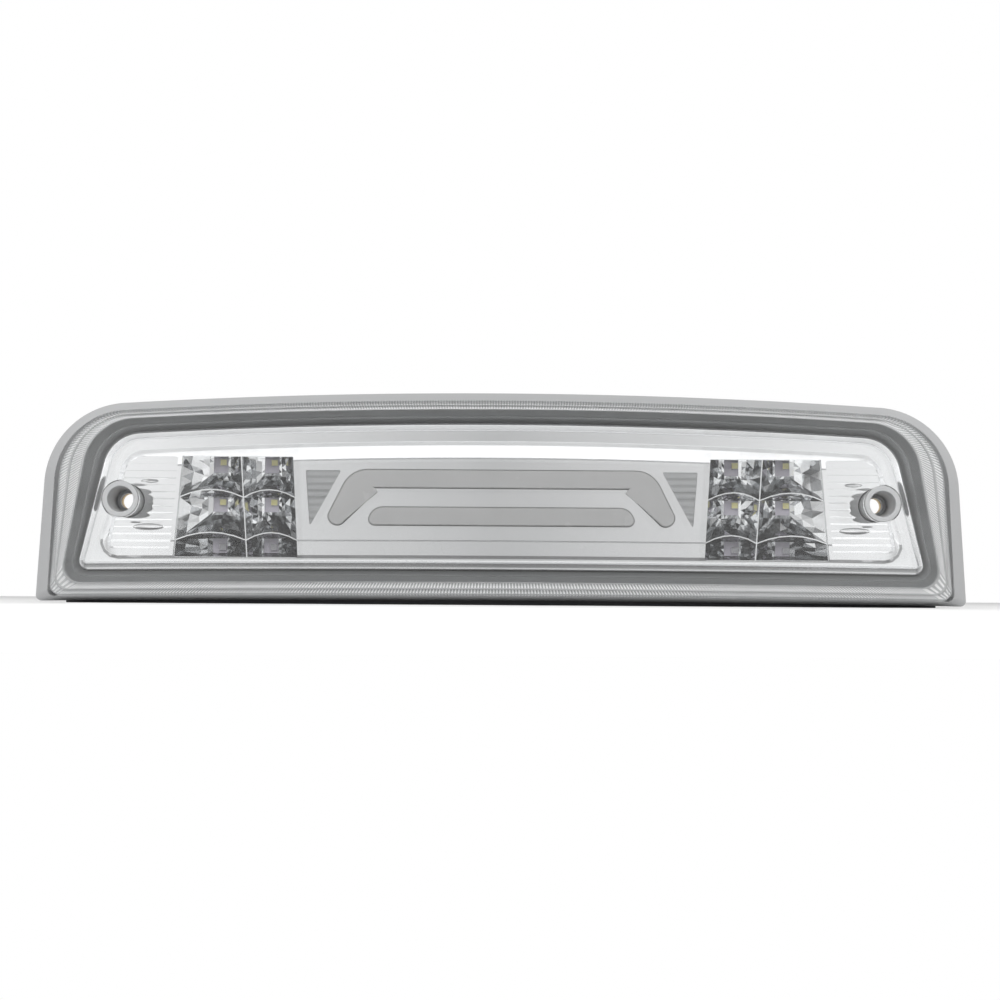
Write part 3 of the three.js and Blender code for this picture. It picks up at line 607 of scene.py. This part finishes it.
# %% Surround
surround_low, surround_high = (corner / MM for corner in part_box("bezel_surround"))
MID = between(BAND, BEZEL, 0.5)
band_front, band_rear = surround_low.y, surround_high.y
crease = band_front + 4
FOOT_INSET = -6.5
FOOT_THICKNESS = 1.5
FOOT_ROWS = {8, 9, 10, 11}
surround = loft("surround_satin", [
    (arched(BAND, 0.9), band_front),
    (arched(BAND, 0.2), band_front + 0.15),
    (arched(BAND, 0), band_front + 0.5),
    (arched(MID, 0.25), crease - 0.25),
    (arched(MID, 0.0), crease - 0.35),
    (arched(MID, -0.25), crease - 0.2),
    (arched(MID, -0.35), crease + 0.1),
    (arched(BEZEL, 0.3), band_rear),
    (arched(RIM, FOOT_INSET), band_rear),
    (arched(RIM, FOOT_INSET), band_rear - FOOT_THICKNESS),
    (arched(BAND, 1.5), band_rear - FOOT_THICKNESS),
    (arched(BAND, 1.5), band_front + 0.4),
], ends="JOIN")
paint(surround, satin_paint, white_abs)
columns = len(arched(BAND))
for face in surround.data.polygons:
    rows = {v // columns for v in face.vertices}
    face.material_index = 1 if rows <= FOOT_ROWS else 0
smooth(surround, 35)
install(surround, "satin_grey", "bezel_surround")

# %% [markdown]
# ## Bezel
# The bezel is one chromed moulding: a rolled rim, a flat frame, a step down to a shallow tray and
# the centre panel. Its pockets, light slots and cup openings are cut afterwards, and every edge
# then gets a fine bevel, because on chrome it is the edges that draw the shape.

# %% Bezel plate
rim_front = (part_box("bezel")[0] / MM).y
frame_front = rim_front + 0.7
panel_front = rim_front + 2
panel_rear = panel_front + 1.8
bezel_rear = rim_front + 8
bezel = loft("bezel_chrome", [
    (arched(BEZEL, -1.8), bezel_rear),
    (arched(BEZEL, 0), bezel_rear),
    (arched(BEZEL, 0), rim_front + 0.9),
    (arched(BEZEL, -0.15), rim_front + 0.4),
    (arched(BEZEL, -0.45), rim_front + 0.1),
    (arched(BEZEL, -0.9), rim_front),
    (arched(BEZEL, -1.3), rim_front + 0.1),
    (arched(BEZEL, -2.7), frame_front + 0.1),
    (arched(BEZEL, -3.0), frame_front + 0.45),
    (arched(BEZEL, -3.3), frame_front + 0.1),
    (arched(BEZEL, -3.6), frame_front),
    (arched(DECK, 0.9), frame_front),
    (arched(DECK, 0.6), frame_front + 0.1),
    (arched(DECK, -0.6), frame_front + 0.75),
    (arched(DECK, -0.95), frame_front + 0.85),
    (arched(PANEL, 0.3), panel_front - 0.05),
    (arched(PANEL, 0), panel_front + 0.2),
    (arched(PANEL, -0.3), panel_front),
], keep_columns=True)
print("bezel plate faces:", len(bezel.data.polygons))

# %% [markdown]
# ## Cutters for the pockets
# A pocket with a fluted floor is easiest to draw in slices: at each height the slice is a
# rectangle, as wide as the pocket is there and as deep as its flutes. Faces between the slices make
# a cutter, and one boolean takes it out of the plate. No operator draws a row of flutes that
# follows a slanted outline, so the faces are laid by hand.

# %% Fluted cutter
FLUTE_STEPS = 6
END_GAP = 0.02


def span_at(points, z):
    """The lowest and highest x of an outline at height z."""
    crossings = []
    for a, b in zip(points, points[1:] + points[:1]):
        if (a[1] - z) * (b[1] - z) <= 0 and a[1] != b[1]:
            crossings.append(a[0] + (b[0] - a[0]) * (z - a[1]) / (b[1] - a[1]))
    return min(crossings), max(crossings)


def rounded(corners, steps=6):
    """A polygon of (x, z, radius) corners with its corners rounded."""
    at = [Vector((x, z)) for x, z, _ in corners]
    n = len(at)
    return [p for i in range(n) for p in fillet(at[i - 1], at[i], at[(i + 1) % n], corners[i][2], steps)]


def mirrored(points, side):
    """The outline for the right end, or its mirror image for the left one."""
    return points if side > 0 else [Vector((-p[0], p[1])) for p in reversed(points)]


# %% Cutter from slices
def fluted_cutter(name, points, front, floor, pitch, depth, draft):
    """Rectangular slices from the bottom of the outline to its top; draft widens the front."""
    low, high = min(p[1] for p in points), max(p[1] for p in points)
    count = max(8, round((high - low) / pitch) * FLUTE_STEPS)
    corners, faces = [], []
    for i in range(count + 1):
        z = low + END_GAP + (high - low - 2 * END_GAP) * i / count
        inner, outer = span_at(points, z)
        back = floor - depth * abs(math.sin(math.pi * (z - low) / pitch))
        spread = draft if outer - inner > 2 * draft else 0
        rect = [(inner - spread, front, z), (outer + spread, front, z),
                (outer, back, z), (inner, back, z)]
        corners += [tuple(v * MM for v in corner) for corner in rect]
    for i in range(count):
        for j in range(4):
            k = (j + 1) % 4
            faces.append((4 * i + j, 4 * i + k, 4 * i + 4 + k, 4 * i + 4 + j))
    faces += [(3, 2, 1, 0), tuple(4 * count + j for j in range(4))]
    drawn = bpy.data.meshes.new(name)
    drawn.from_pydata(corners, [], faces)
    piece = bpy.data.objects.new(name, drawn)
    bpy.context.scene.collection.objects.link(piece)
    fix_normals(piece)
    return piece


# %% [markdown]
# ## Where the openings go
# The cup block, the pocket beside it and the ribbed inset are placed from the tray's outline, so
# that they follow it. A pocket is a rounded four-sided hollow round the screw sleeve, and an inset
# is a small triangle between the cups and the light bars.

# %% Sizes of the cups, pockets and insets
BLOCK = {"outer_top": DECK["half_top"] - 22.8, "outer_bottom": DECK["half_bottom"] - 32.7,
         "top": DECK["top"] - 5.9, "bottom": DECK["bottom"] - 0.7}
BLOCK["inner_top"] = BLOCK["outer_top"] - 47
BLOCK["inner_bottom"] = BLOCK["outer_bottom"] - 53
POCKET = rounded([
    (BLOCK["outer_bottom"] + 2, DECK["bottom"] + 2.6, 0.8),
    (DECK["half_bottom"] - 4.9, DECK["bottom"] + 2.6, 3),
    (DECK["half_top"] + 1.4, DECK["top"] - 6.2, 6.8),
    (BLOCK["outer_top"] + 2.4, DECK["top"] - 6.2, 0.8)])
INSET = rounded([(81.5, -10.6, 0.4), (83.4, 13.5, 0.4), (68.3, 13.5, 0.4)], 2)
pocket_floor = panel_front + 3.5
FLUTE_PITCH = 3
# Each dimple: its x and z, and half its width and half its height, in mm.
DIMPLES = ((150.7, -11.0, 6.6, 1.5), (150.3, 8.6, 3.8, 0.9))
DIMPLE_DEPTH = 0.85


def block_outline(grow):
    corners = [(BLOCK["inner_bottom"] - grow, BLOCK["bottom"] - grow, 0.6),
               (BLOCK["outer_bottom"] + grow, BLOCK["bottom"] - grow, 0.6),
               (BLOCK["outer_top"] + grow, BLOCK["top"] + grow, 0.6),
               (BLOCK["inner_top"] - grow, BLOCK["top"] + grow, 0.6)]
    return rounded(corners, 3)


def grown(points, d):
    """An outline moved outwards by d, each point along its own normal."""
    n = len(points)
    moved = []
    for i, p in enumerate(points):
        along = (Vector(points[(i + 1) % n]) - Vector(points[i - 1])).normalized()
        moved.append(Vector(p) + Vector((along.y, -along.x)) * d)
    return moved


print("cup block is", round(BLOCK["top"] - BLOCK["bottom"], 1), "mm high")

# %% [markdown]
# ## Outlines of the light bars
# The upper bar is a strip of even width, bent down at both ends and closed by half-round caps. The
# lower bar is a flat trapezium below it. Each outline serves twice: a little grown for the slot in
# the bezel, and at its own size for the bar itself.

# %% Light-bar outlines
BAR_WIDTH = 7.7
UPPER_Z = 10
UPPER_CORNER = 61.7
UPPER_TIP = Vector((69.8, -6))
UPPER_BEND = 7.8
CAP_STEPS = 16
LOWER_Z = -5.9
LOWER_HALF = 58.1
LOWER_HALF_TOP = 54


def upper_bar(grow=0.0, steps=10):
    half = BAR_WIDTH / 2 + grow
    leg = (UPPER_TIP - Vector((UPPER_CORNER, UPPER_Z))).normalized()
    across = Vector((-leg.y, leg.x)) * half

    def bend(h, start, end):
        at = Vector((UPPER_CORNER + h * (1 - leg.x) / -leg.y, UPPER_Z + h))
        return fillet(start, at, end, UPPER_BEND + h, steps)

    outer = bend(half, UPPER_TIP + across, Vector((0, UPPER_Z + half)))
    inner = bend(-half, Vector((0, UPPER_Z - half)), UPPER_TIP - across)
    turns = [Matrix.Rotation(math.pi * i / CAP_STEPS, 2) for i in range(CAP_STEPS + 1)]
    cap = [UPPER_TIP + turn @ -across for turn in turns]
    right = inner + cap[1:-1] + outer
    return right + [Vector((-p.x, p.y)) for p in reversed(right)]


def lower_bar(grow=0.0, steps=8):
    low, high = LOWER_Z - BAR_WIDTH / 2 - grow, LOWER_Z + BAR_WIDTH / 2 + grow
    wide, narrow = LOWER_HALF + grow, LOWER_HALF_TOP + grow
    return rounded([(-wide, low, 2.5 + grow), (wide, low, 2.5 + grow), (narrow, high, 6 + grow),
                    (-narrow, high, 6 + grow)], steps)


print("upper bar points:", len(upper_bar()), "lower bar points:", len(lower_bar()))

# %% [markdown]
# ## Cutting the bezel
# A pocket is deeper than the plate is thick, so a block is first added behind the plate. Then come
# the fluted pockets and ribbed insets, the openings for the cups, sleeves and light bars, and last
# the oval dimples in the pocket floors.

# %% Cut the pockets and insets
for side in (-1, 1):
    tray = loft("tray", [(mirrored(grown(POCKET, 2.4), side), panel_front + 0.6),
                         (mirrored(grown(POCKET, 1.4), side), pocket_floor + 1.6)])
    boolean(bezel, tray, "UNION")
cutters = []
for side in (-1, 1):
    cutters.append(fluted_cutter("flutes", mirrored(POCKET, side), rim_front - 2, pocket_floor,
                                 FLUTE_PITCH, 0.06, 1.2))
    cutters.append(fluted_cutter("ribs", mirrored(INSET, side), panel_front - 1, panel_front + 1,
                                 FLUTE_PITCH, 0.35, 0))
for cutter in cutters:
    boolean(bezel, cutter)
print("bezel faces with pockets:", len(bezel.data.polygons))

# %% Cut the openings, slots and dimples
for side in (-1, 1):
    boolean(bezel, loft("opening", [(mirrored(block_outline(0), side), rim_front - 2),
                                    (mirrored(block_outline(0), side), panel_rear),
                                    (mirrored(block_outline(0.9), side), panel_rear + 0.01),
                                    (mirrored(block_outline(0.9), side), -1)]))
    boolean(bezel, rod("hole", SLEEVE_FRONT_R - 0.4, rim_front - 2, -1, side * SCREW_X))
for outline in (upper_bar(0.3), lower_bar(0.3)):
    boolean(bezel, loft("slot", [(outline, rim_front - 2), (outline, panel_rear + 2)]))
for side in (-1, 1):
    for x, z, half_x, half_z in DIMPLES:
        bpy.ops.object.select_all(action="DESELECT")
        bpy.ops.mesh.primitive_uv_sphere_add(
            segments=40, ring_count=20, location=(side * x * MM, (pocket_floor + 0.1) * MM, z * MM),
            scale=(half_x * MM, DIMPLE_DEPTH * MM, half_z * MM), rotation=(0, 0, 0))
        bpy.ops.object.transform_apply(location=True, rotation=True, scale=True)
        boolean(bezel, bpy.context.active_object)
print("bezel faces with openings:", len(bezel.data.polygons))

# %% [markdown]
# ## Edges of the bezel
# A real moulding has no knife edge, and chrome shows a bright line along each rounded one. Points
# that the cuts left almost on top of each other are merged first, or the bevel would fold there.

# %% Bevel and finish the bezel
EDGE_ROUND = 0.22
INSET_X = (68, 83.6)
INSET_Z = (-10.8, 13.6)
edit(bezel)
bpy.ops.mesh.select_all(action="SELECT")
bpy.ops.mesh.remove_doubles(threshold=2 * MERGE)
finish_edit()
apply(bezel, "BEVEL", width=EDGE_ROUND * MM, segments=2, limit_method="ANGLE",
      angle_limit=math.radians(35), use_clamp_overlap=True)
smooth(bezel, 24)
paint(bezel, chrome, grained_chrome)
for face in bezel.data.polygons:
    at = face.center / MM
    in_inset = INSET_X[0] < abs(at.x) < INSET_X[1] and INSET_Z[0] < at.z < INSET_Z[1]
    if in_inset and panel_front + 0.3 < at.y < panel_front + 1.1:
        face.material_index = 1
install(bezel, "metallised", "bezel")

# %% [markdown]
# ## Cargo-light cups
# Each end has a block of two by three reflector cups, cut like a gem so that one small LED sparkles
# over the whole cup. A cup is drawn as rings of corners from its curved mouth down to the square
# window, so its facets fan out from the window. The LEDs sit in two columns, and the ridges between
# the cups slant and bow, so no two cups of a block are alike.

# %% Cup sizes
ROWS = [BLOCK["top"], BLOCK["bottom"] + 29, BLOCK["bottom"] + 10.7, BLOCK["bottom"]]
ROW_DROP = 3.2
RIDGE = 0.5
WINDOW = 6.2
CUP_STEPS = 6
CUP_RISE = 4
WINDOW_DROPS = (0.5, 3.0, 2.3)
LED_COLUMNS = (BLOCK["outer_top"] - 37, BLOCK["outer_top"] - 15)
DIVIDER = (BLOCK["outer_bottom"] - 31.2, BLOCK["outer_top"] - 24.6)
reflector_low, reflector_high = (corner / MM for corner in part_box("cargo_reflector_right"))
cup_front, cup_rear = reflector_low.y, reflector_high.y
print("cups are", round(cup_rear - cup_front, 1), "mm deep")


# %% Mouths and windows of the cups
def column_x(z, column):
    """The x of an upright ridge at height z: the inner edge, the divider or the outer edge."""
    t = (z - BLOCK["bottom"]) / (BLOCK["top"] - BLOCK["bottom"])
    ends = ((BLOCK["inner_bottom"], BLOCK["inner_top"]), DIVIDER,
            (BLOCK["outer_bottom"], BLOCK["outer_top"]))
    low, high = ends[column]
    return low + (high - low) * t


def four_sided(low, high, steps, rise):
    """Points round a four-sided outline, from its low and high edges."""
    bottom = [low(i / steps) for i in range(steps + 1)]
    top = [high(i / steps) for i in range(steps, -1, -1)]
    right = [bottom[-1].lerp(top[0], (i + 1) / rise) for i in range(rise - 1)]
    left = [top[-1].lerp(bottom[0], (i + 1) / rise) for i in range(rise - 1)]
    return bottom + right + top + left


def cup_mouth(row, column):
    def edge(index, inwards):
        def at(t):
            bow = 0 if index in (0, 3) else ROW_DROP * (2 * t - 1) ** 2
            z = ROWS[index] - bow - inwards * RIDGE / 2
            x = column_x(z, column) + RIDGE / 2
            return Vector((x + (column_x(z, column + 1) - RIDGE / 2 - x) * t, z))
        return at
    return four_sided(edge(row + 1, -1), edge(row, 1), CUP_STEPS, CUP_RISE)


def cup_window(row, column):
    top = ROWS[row] - WINDOW_DROPS[row]

    def edge(drop):
        return lambda t: Vector((LED_COLUMNS[column] + WINDOW * (t - 0.5), top - drop))
    return four_sided(edge(WINDOW), edge(0), CUP_STEPS, CUP_RISE)


print("corners round a cup:", len(cup_mouth(0, 0)))

# %% [markdown]
# ## Facets of the cups
# The rings between mouth and window are pushed about a little at random, so that every facet leans its
# own way, as in a cut stone. The seed makes the same facets each time. A facet then gets a painted
# reflection, one of four shades of chrome, by the way it leans: up or down, in or out. The lowest cups
# look at the dark floor of the block, so most of their facets get painted shade.

# %% One cup cutter
random.seed(11)
# Each ring: its way from mouth to window, and its share of the depth.
LEVELS = ((0.0, 0.02), (0.3, 0.5), (0.62, 0.8), (0.85, 0.95))
TWIST = 0.12
PULL = 0.07
HEAVE = 0.45


def cup_cutter(side, row, column):
    mouth, window = cup_mouth(row, column), cup_window(row, column)
    n = len(mouth)
    depth = cup_rear - cup_front
    shifts = [random.uniform(-TWIST, TWIST) for _ in range(n)]
    rings = [(mouth, cup_front - 0.4)]
    for k, (t, down) in enumerate(LEVELS):
        ring, depths = [], []
        for i in range(n):
            free = k in (1, 2)
            pull = random.uniform(-PULL, PULL) if free else 0
            aside = Vector((0, 0)) if k == 0 else (mouth[(i + 1) % n] - mouth[i]) * shifts[i]
            ring.append(mouth[i].lerp(window[i], t + pull) + aside * (1 - t))
            depths.append(cup_front + depth * down + (random.uniform(-HEAVE, HEAVE) if free else 0))
        rings.append((ring, depths))
    rings += [(window, cup_rear - 0.15), (window, cup_rear + 0.5)]
    if side < 0:
        rings = [([Vector((-p.x, p.y)) for p in reversed(points)],
                  list(reversed(depths)) if isinstance(depths, list) else depths)
                 for points, depths in rings]
    cutter = loft("cup", rings, keep_columns=True)
    apply(cutter, "TRIANGULATE", quad_method="SHORTEST_DIAGONAL")
    return cutter


# %% Films of the facets
# The four shades of cup chrome: the mid, low and dark ones are painted shade and painted reflection.
PAINTED_REFLECTION = {"bright": 0, "mid": 1, "low": 2, "dark": 3}
# Up to each lean in degrees, the share of bright, mid and low facets; the rest are dark.
LEANS = ((-150, (0.85, 0.15, 0.0)), (-100, (0.5, 0.2, 0.1)), (-55, (0.1, 0.15, 0.25)),
         (15, (0.25, 0.3, 0.15)), (68, (0.5, 0.35, 0.05)), (112, (0.1, 0.35, 0.4)),
         (135, (0.75, 0.2, 0.0)), (181, (0.85, 0.15, 0.0)))
LOWEST_ROW = 2
LOWEST_ROW_SHADE_SHARE = 0.8
HALF_BOW = 1.5


def painted_reflection_of(face, side, row):
    """A painted reflection shade for a facet, picked by the way it leans in or out and up or down."""
    lean = math.degrees(math.atan2(face.normal.z, face.normal.x * side))
    shares = next(shares for limit, shares in LEANS if lean <= limit)
    draw = random.random()
    if row == LOWEST_ROW and draw < LOWEST_ROW_SHADE_SHARE:
        return PAINTED_REFLECTION[random.choice(("mid", "low", "low", "dark"))]
    for name, share in zip(PAINTED_REFLECTION, shares):
        if draw < share:
            return PAINTED_REFLECTION[name]
        draw -= share
    return PAINTED_REFLECTION["dark"]


def row_of(z):
    """The row a facet belongs to; the lowest ridge bows, so its row starts a little lower."""
    return 0 if z > ROWS[1] else 1 if z > ROWS[2] - HALF_BOW else 2


# %% Cut the cups
for name, side in (("left", -1), ("right", 1)):
    block = loft(f"cups_{name}", [(mirrored(block_outline(0.6), side), cup_front),
                                  (mirrored(block_outline(0.6), side), cup_rear)])
    cups = [cup_cutter(side, row, column) for row in range(3) for column in range(2)]
    boolean(block, join("cups", cups))
    # Facets that face the front get painted reflection and painted shade by the way they lean.
    paint(block, cup_chrome, painted_half_shade_cup, painted_shade_cup, painted_dark_cup)
    for face in block.data.polygons:
        if face.normal.y < -0.05 and face.center.y / MM > cup_front + 0.2:
            face.material_index = painted_reflection_of(face, side, row_of(face.center.z / MM))
    smooth(block, 4)
    install(block, "metallised", f"cargo_reflector_{name}")

# %% [markdown]
# ## Light bars
# The two bars are opal diffusers that fill the slots and stand a little proud of the panel. Each is
# a stack of its outline: three smaller ones roll the front edge over, and two wider ones at the
# rear make the flange that holds the bar behind the bezel.

# %% Light bars
for node, outline in (("upper_light_bar", upper_bar), ("lower_light_bar", lower_bar)):
    low, high = (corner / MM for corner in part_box(node))
    bar = loft(f"{node}_opal", [
        (outline(-0.75), low.y), (outline(-0.4), low.y + 0.06), (outline(-0.15), low.y + 0.22),
        (outline(0), low.y + 0.6), (outline(0), high.y - 1.2), (outline(1), high.y - 1.2),
        (outline(1), high.y)], keep_columns=True)
    smooth(bar, 40)
    paint(bar, opal_pc)
    install(bar, "milky_diffuser", node)

# %% [markdown]
# ## Screw sleeves
# The two sleeves are frosted tubes that take the screws through the lamp. A tube with steps and
# rounded lips is quickest to turn, as on a lathe: the profile of its wall, with the seat for the
# screw head, is drawn as a line of points and spun once round the screw axis.

# %% Screw sleeves
SCREW_HOLE = 3.3
SEAT_DEPTH = 3
SPIN_STEPS = 64
for name, side in (("left", -1), ("right", 1)):
    node = f"screw_sleeve_{name}"
    low, high = (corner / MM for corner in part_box(node))
    front, rear = low.y, high.y
    seat = rear - SEAT_DEPTH
    profile = [(SCREW_HOLE, rear), (6.3, rear), (SLEEVE_FRONT_R - 0.05, front + 1.0),
               (SLEEVE_FRONT_R, front + 0.5), (SLEEVE_FRONT_R - 0.15, front + 0.12),
               (SLEEVE_FRONT_R - 0.5, front), (5.9, front), (5.55, front + 0.12), (5.4, front + 0.5),
               (5.2, front + 2.4), (5.0, front + 2.7), (4.75, seat - 0.5), (4.6, seat - 0.1),
               (4.3, seat), (SCREW_HOLE, seat)]
    drawn = bpy.data.meshes.new(node)
    count = len(profile)
    drawn.from_pydata([(side * SCREW_X * MM + r * MM, y * MM, 0) for r, y in profile],
                      [(i, (i + 1) % count) for i in range(count)], [])
    sleeve = bpy.data.objects.new(f"sleeve_{name}", drawn)
    bpy.context.scene.collection.objects.link(sleeve)
    edit(sleeve, "VERT")
    bpy.ops.mesh.select_all(action="SELECT")
    bpy.ops.mesh.spin(steps=SPIN_STEPS, angle=2 * math.pi, center=(side * SCREW_X * MM, 0, 0),
                      axis=(0, 1, 0))
    bpy.ops.mesh.select_all(action="SELECT")
    bpy.ops.mesh.remove_doubles(threshold=MERGE)
    bpy.ops.mesh.normals_make_consistent(inside=False)
    finish_edit()
    smooth(sleeve, 35)
    paint(sleeve, sleeve_pc)
    install(sleeve, "frosted_lens", node)

# %% [markdown]
# ## LEDs
# A cargo LED is a small white package with a square of gel let into its face. A cube takes the
# size and place of its CAD node, its front is inset twice, the second time with a small step back,
# and its edges are bevelled. The two upper rows have yellow phosphor, the lowest row clear gel.

# %% One LED
GEL_BORDER = 0.14
GEL_STEP = 0.08
GEL_DEPTH = -0.12
GEL_HALF = (1.33, 1.23)


def led_package(name, node):
    low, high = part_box(node)
    bpy.ops.object.select_all(action="DESELECT")
    bpy.ops.mesh.primitive_cube_add(size=1, location=(low + high) / 2, scale=high - low)
    led = bpy.context.active_object
    led.name = name
    bpy.ops.object.transform_apply(location=True, rotation=True, scale=True)
    edit(led)
    select_faces(led, lambda middle, normal: normal.y < -0.9)
    bpy.ops.mesh.inset(thickness=GEL_BORDER * MM)
    bpy.ops.mesh.inset(thickness=GEL_STEP * MM, depth=GEL_DEPTH * MM)
    finish_edit()
    apply(led, "BEVEL", width=0.08 * MM, segments=2, limit_method="ANGLE",
          angle_limit=math.radians(40))
    smooth(led, 30)
    return led


# %% Cargo LEDs
for name in ("left", "right"):
    for row in (1, 2, 3):
        for column in "ab":
            node = f"cargo_led_{name}_{row}{column}"
            led = led_package(f"led_{name}_{row}{column}", node)
            paint(led, led_body_painted_shade, phosphor if row < 3 else clear_gel)
            low, high = (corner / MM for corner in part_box(node))
            middle = (low + high) / 2
            for face in led.data.polygons:
                at = face.center / MM
                near = abs(at.x - middle.x) < GEL_HALF[0] and abs(at.z - middle.z) < GEL_HALF[1]
                face.material_index = 1 if near and at.y < middle.y else 0
            install(led, "white_led" if row < 3 else "clear_led", node)

# %% [markdown]
# ## Pieces that keep their CAD shape
# The housing, gasket, seals and connector have the right shape already, with knife-sharp edges.
# Each is copied and its doubled points merged, flat faces are cleaned up, and a bevel rounds the
# edges as a mould does.

# %% Bevelled copies of CAD nodes
def rounded_copy(node, name, slot, made, width):
    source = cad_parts[node]
    piece = bpy.data.objects.new(name, source.data.copy())
    bpy.context.scene.collection.objects.link(piece)
    edit(piece)
    bpy.ops.mesh.select_all(action="SELECT")
    bpy.ops.mesh.remove_doubles(threshold=MERGE)
    bpy.ops.mesh.dissolve_limited(angle_limit=math.radians(1))
    finish_edit()
    apply(piece, "BEVEL", width=width * MM, segments=2, limit_method="ANGLE",
          angle_limit=math.radians(30), use_clamp_overlap=True)
    smooth(piece, 35)
    paint(piece, made)
    install(piece, slot, node)


for node, slot, made, width in (
        ("housing", "black_plastic", black_abs, 0.35),
        ("gasket", "foam_rubber", foam, 0.5),
        ("connector_socket", "black_plastic", black_abs, 0.25),
        ("vent_cap", "black_rubber", rubber, 0.4),
        ("connector_seal", "black_rubber", rubber, 0.15)):
    rounded_copy(node, f"{node}_moulded", slot, made, width)

# %% [markdown]
# ## Pieces that stay as they are
# The circuit boards, brake LEDs, wires, bushings, blades, light box and lens seal lie inside the
# lamp or in its holes, where little of them is seen. They keep their CAD mesh and get only a
# finish, found by a part of their name.

# %% Finishes of the CAD nodes that stay
KEPT = (("brake_led", red_gel), ("board", solder_mask), ("jumper", red_wire), ("bushing", brass),
        ("blade", tinned), ("light_box", white_abs), ("lens_seal", rubber))
for node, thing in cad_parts.items():
    if not thing.hide_render:
        paint(thing, next((made for part, made in KEPT if part in node), black_abs))
        print(node, "is", thing.data.materials[0].name)

# %% [markdown]
# ## Floor
# The lamp stands on a wide sheet of white paper. Paper is so dull that its specular level is nil.

# %% Floor
FLOOR_SIZE = 6
bpy.ops.object.select_all(action="DESELECT")
floor_z = cad_box[0][2]
bpy.ops.mesh.primitive_plane_add(size=FLOOR_SIZE, location=(0, 0, floor_z))
floor = bpy.context.active_object
floor.name = "floor"
bpy.ops.object.transform_apply(location=True, rotation=True, scale=True)
floor_paper = surface("white_paper_floor", ("F4F4F4", "FAFAFA"), (0.9, 1.0), 200, Specular_IOR_Level=0.0)
paint(floor, floor_paper)
print("floor at", round(floor_z / MM, 1), "mm")

# %% [markdown]
# ## World
# Chrome shows only what stands around it, so the studio is part of the finish. The world is a soft
# grey behind the camera that brightens to both sides, with a darker ring half-way round, which only
# the steps and rounded edges of the bezel see. The camera itself sees plain white.

# %% World
GLOW = 1.14
world = bpy.data.worlds.new("studio")
bpy.context.scene.world = world
world.use_nodes = True
sky = world.node_tree
sky.nodes.clear()
direction = add(sky, "ShaderNodeTexCoord")
axes = add(sky, "ShaderNodeSeparateXYZ", None, {0: direction.outputs["Generated"]})


def ramp(source, stops):
    """A grey ramp through (position, value) stops."""
    made = add(sky, "ShaderNodeValToRGB", None, {0: source})
    for _ in stops[2:]:
        made.color_ramp.elements.new(0.5)
    for stop, (position, value) in zip(made.color_ramp.elements, stops):
        stop.position, stop.color = position, (value, value, value, 1)
    return made.outputs[0]


sideways = add(sky, "ShaderNodeMath", {"operation": "ABSOLUTE"}, {0: axes.outputs["X"]})
across = ramp(sideways.outputs[0], ((0, 0.5), (0.1, 0.64), (0.2, 0.86), (0.4, 0.92), (1, 0.92)))
behind = add(sky, "ShaderNodeMath", {"operation": "MULTIPLY_ADD", 1: 0.5, 2: 0.5}, {0: axes.outputs["Y"]})
around = ramp(behind.outputs[0], ((0, 1), (0.06, 1), (0.12, 0.6), (0.2, 0.36), (0.3, 0.2), (0.45, 0.16),
                                  (0.56, 0.95), (1, 1)))
both = add(sky, "ShaderNodeMix", {"data_type": "RGBA", "blend_type": "MULTIPLY", 0: 1.0},
           {6: across, 7: around})
glow = add(sky, "ShaderNodeBackground", {"Strength": GLOW}, {"Color": both.outputs[2]})
paper = add(sky, "ShaderNodeBackground", {"Color": (1, 1, 1, 1), "Strength": 1.0})
path = add(sky, "ShaderNodeLightPath")
seen = add(sky, "ShaderNodeMixShader", None, {0: path.outputs["Is Camera Ray"], 1: glow.outputs[0],
                                              2: paper.outputs[0]})
add(sky, "ShaderNodeOutputWorld", None, {"Surface": seen.outputs[0]})
print("world nodes:", len(sky.nodes))

# %% [markdown]
# ## Soft light
# One large softbox stands in front of the lamp, above and behind the camera, and gives the dull
# plastics their shape. Mirrors and clear plastic don't see it, because its hard rectangle would
# show in the chrome.

# %% Soft light from the front
lamp = bpy.data.lights.new("softbox", "AREA")
lamp.shape = "RECTANGLE"
lamp.size = 1.6
lamp.size_y = 1.0
lamp.energy = 17
softbox = bpy.data.objects.new("softbox", lamp)
softbox.location = (0, -1.2, 0.9)
softbox.rotation_euler = (math.radians(53), 0, 0)
softbox.visible_glossy = False
softbox.visible_transmission = False
bpy.context.scene.collection.objects.link(softbox)
bpy.context.scene.view_settings.view_transform = "Standard"
print("softbox:", lamp.energy, "W,", lamp.size, "by", lamp.size_y, "m")
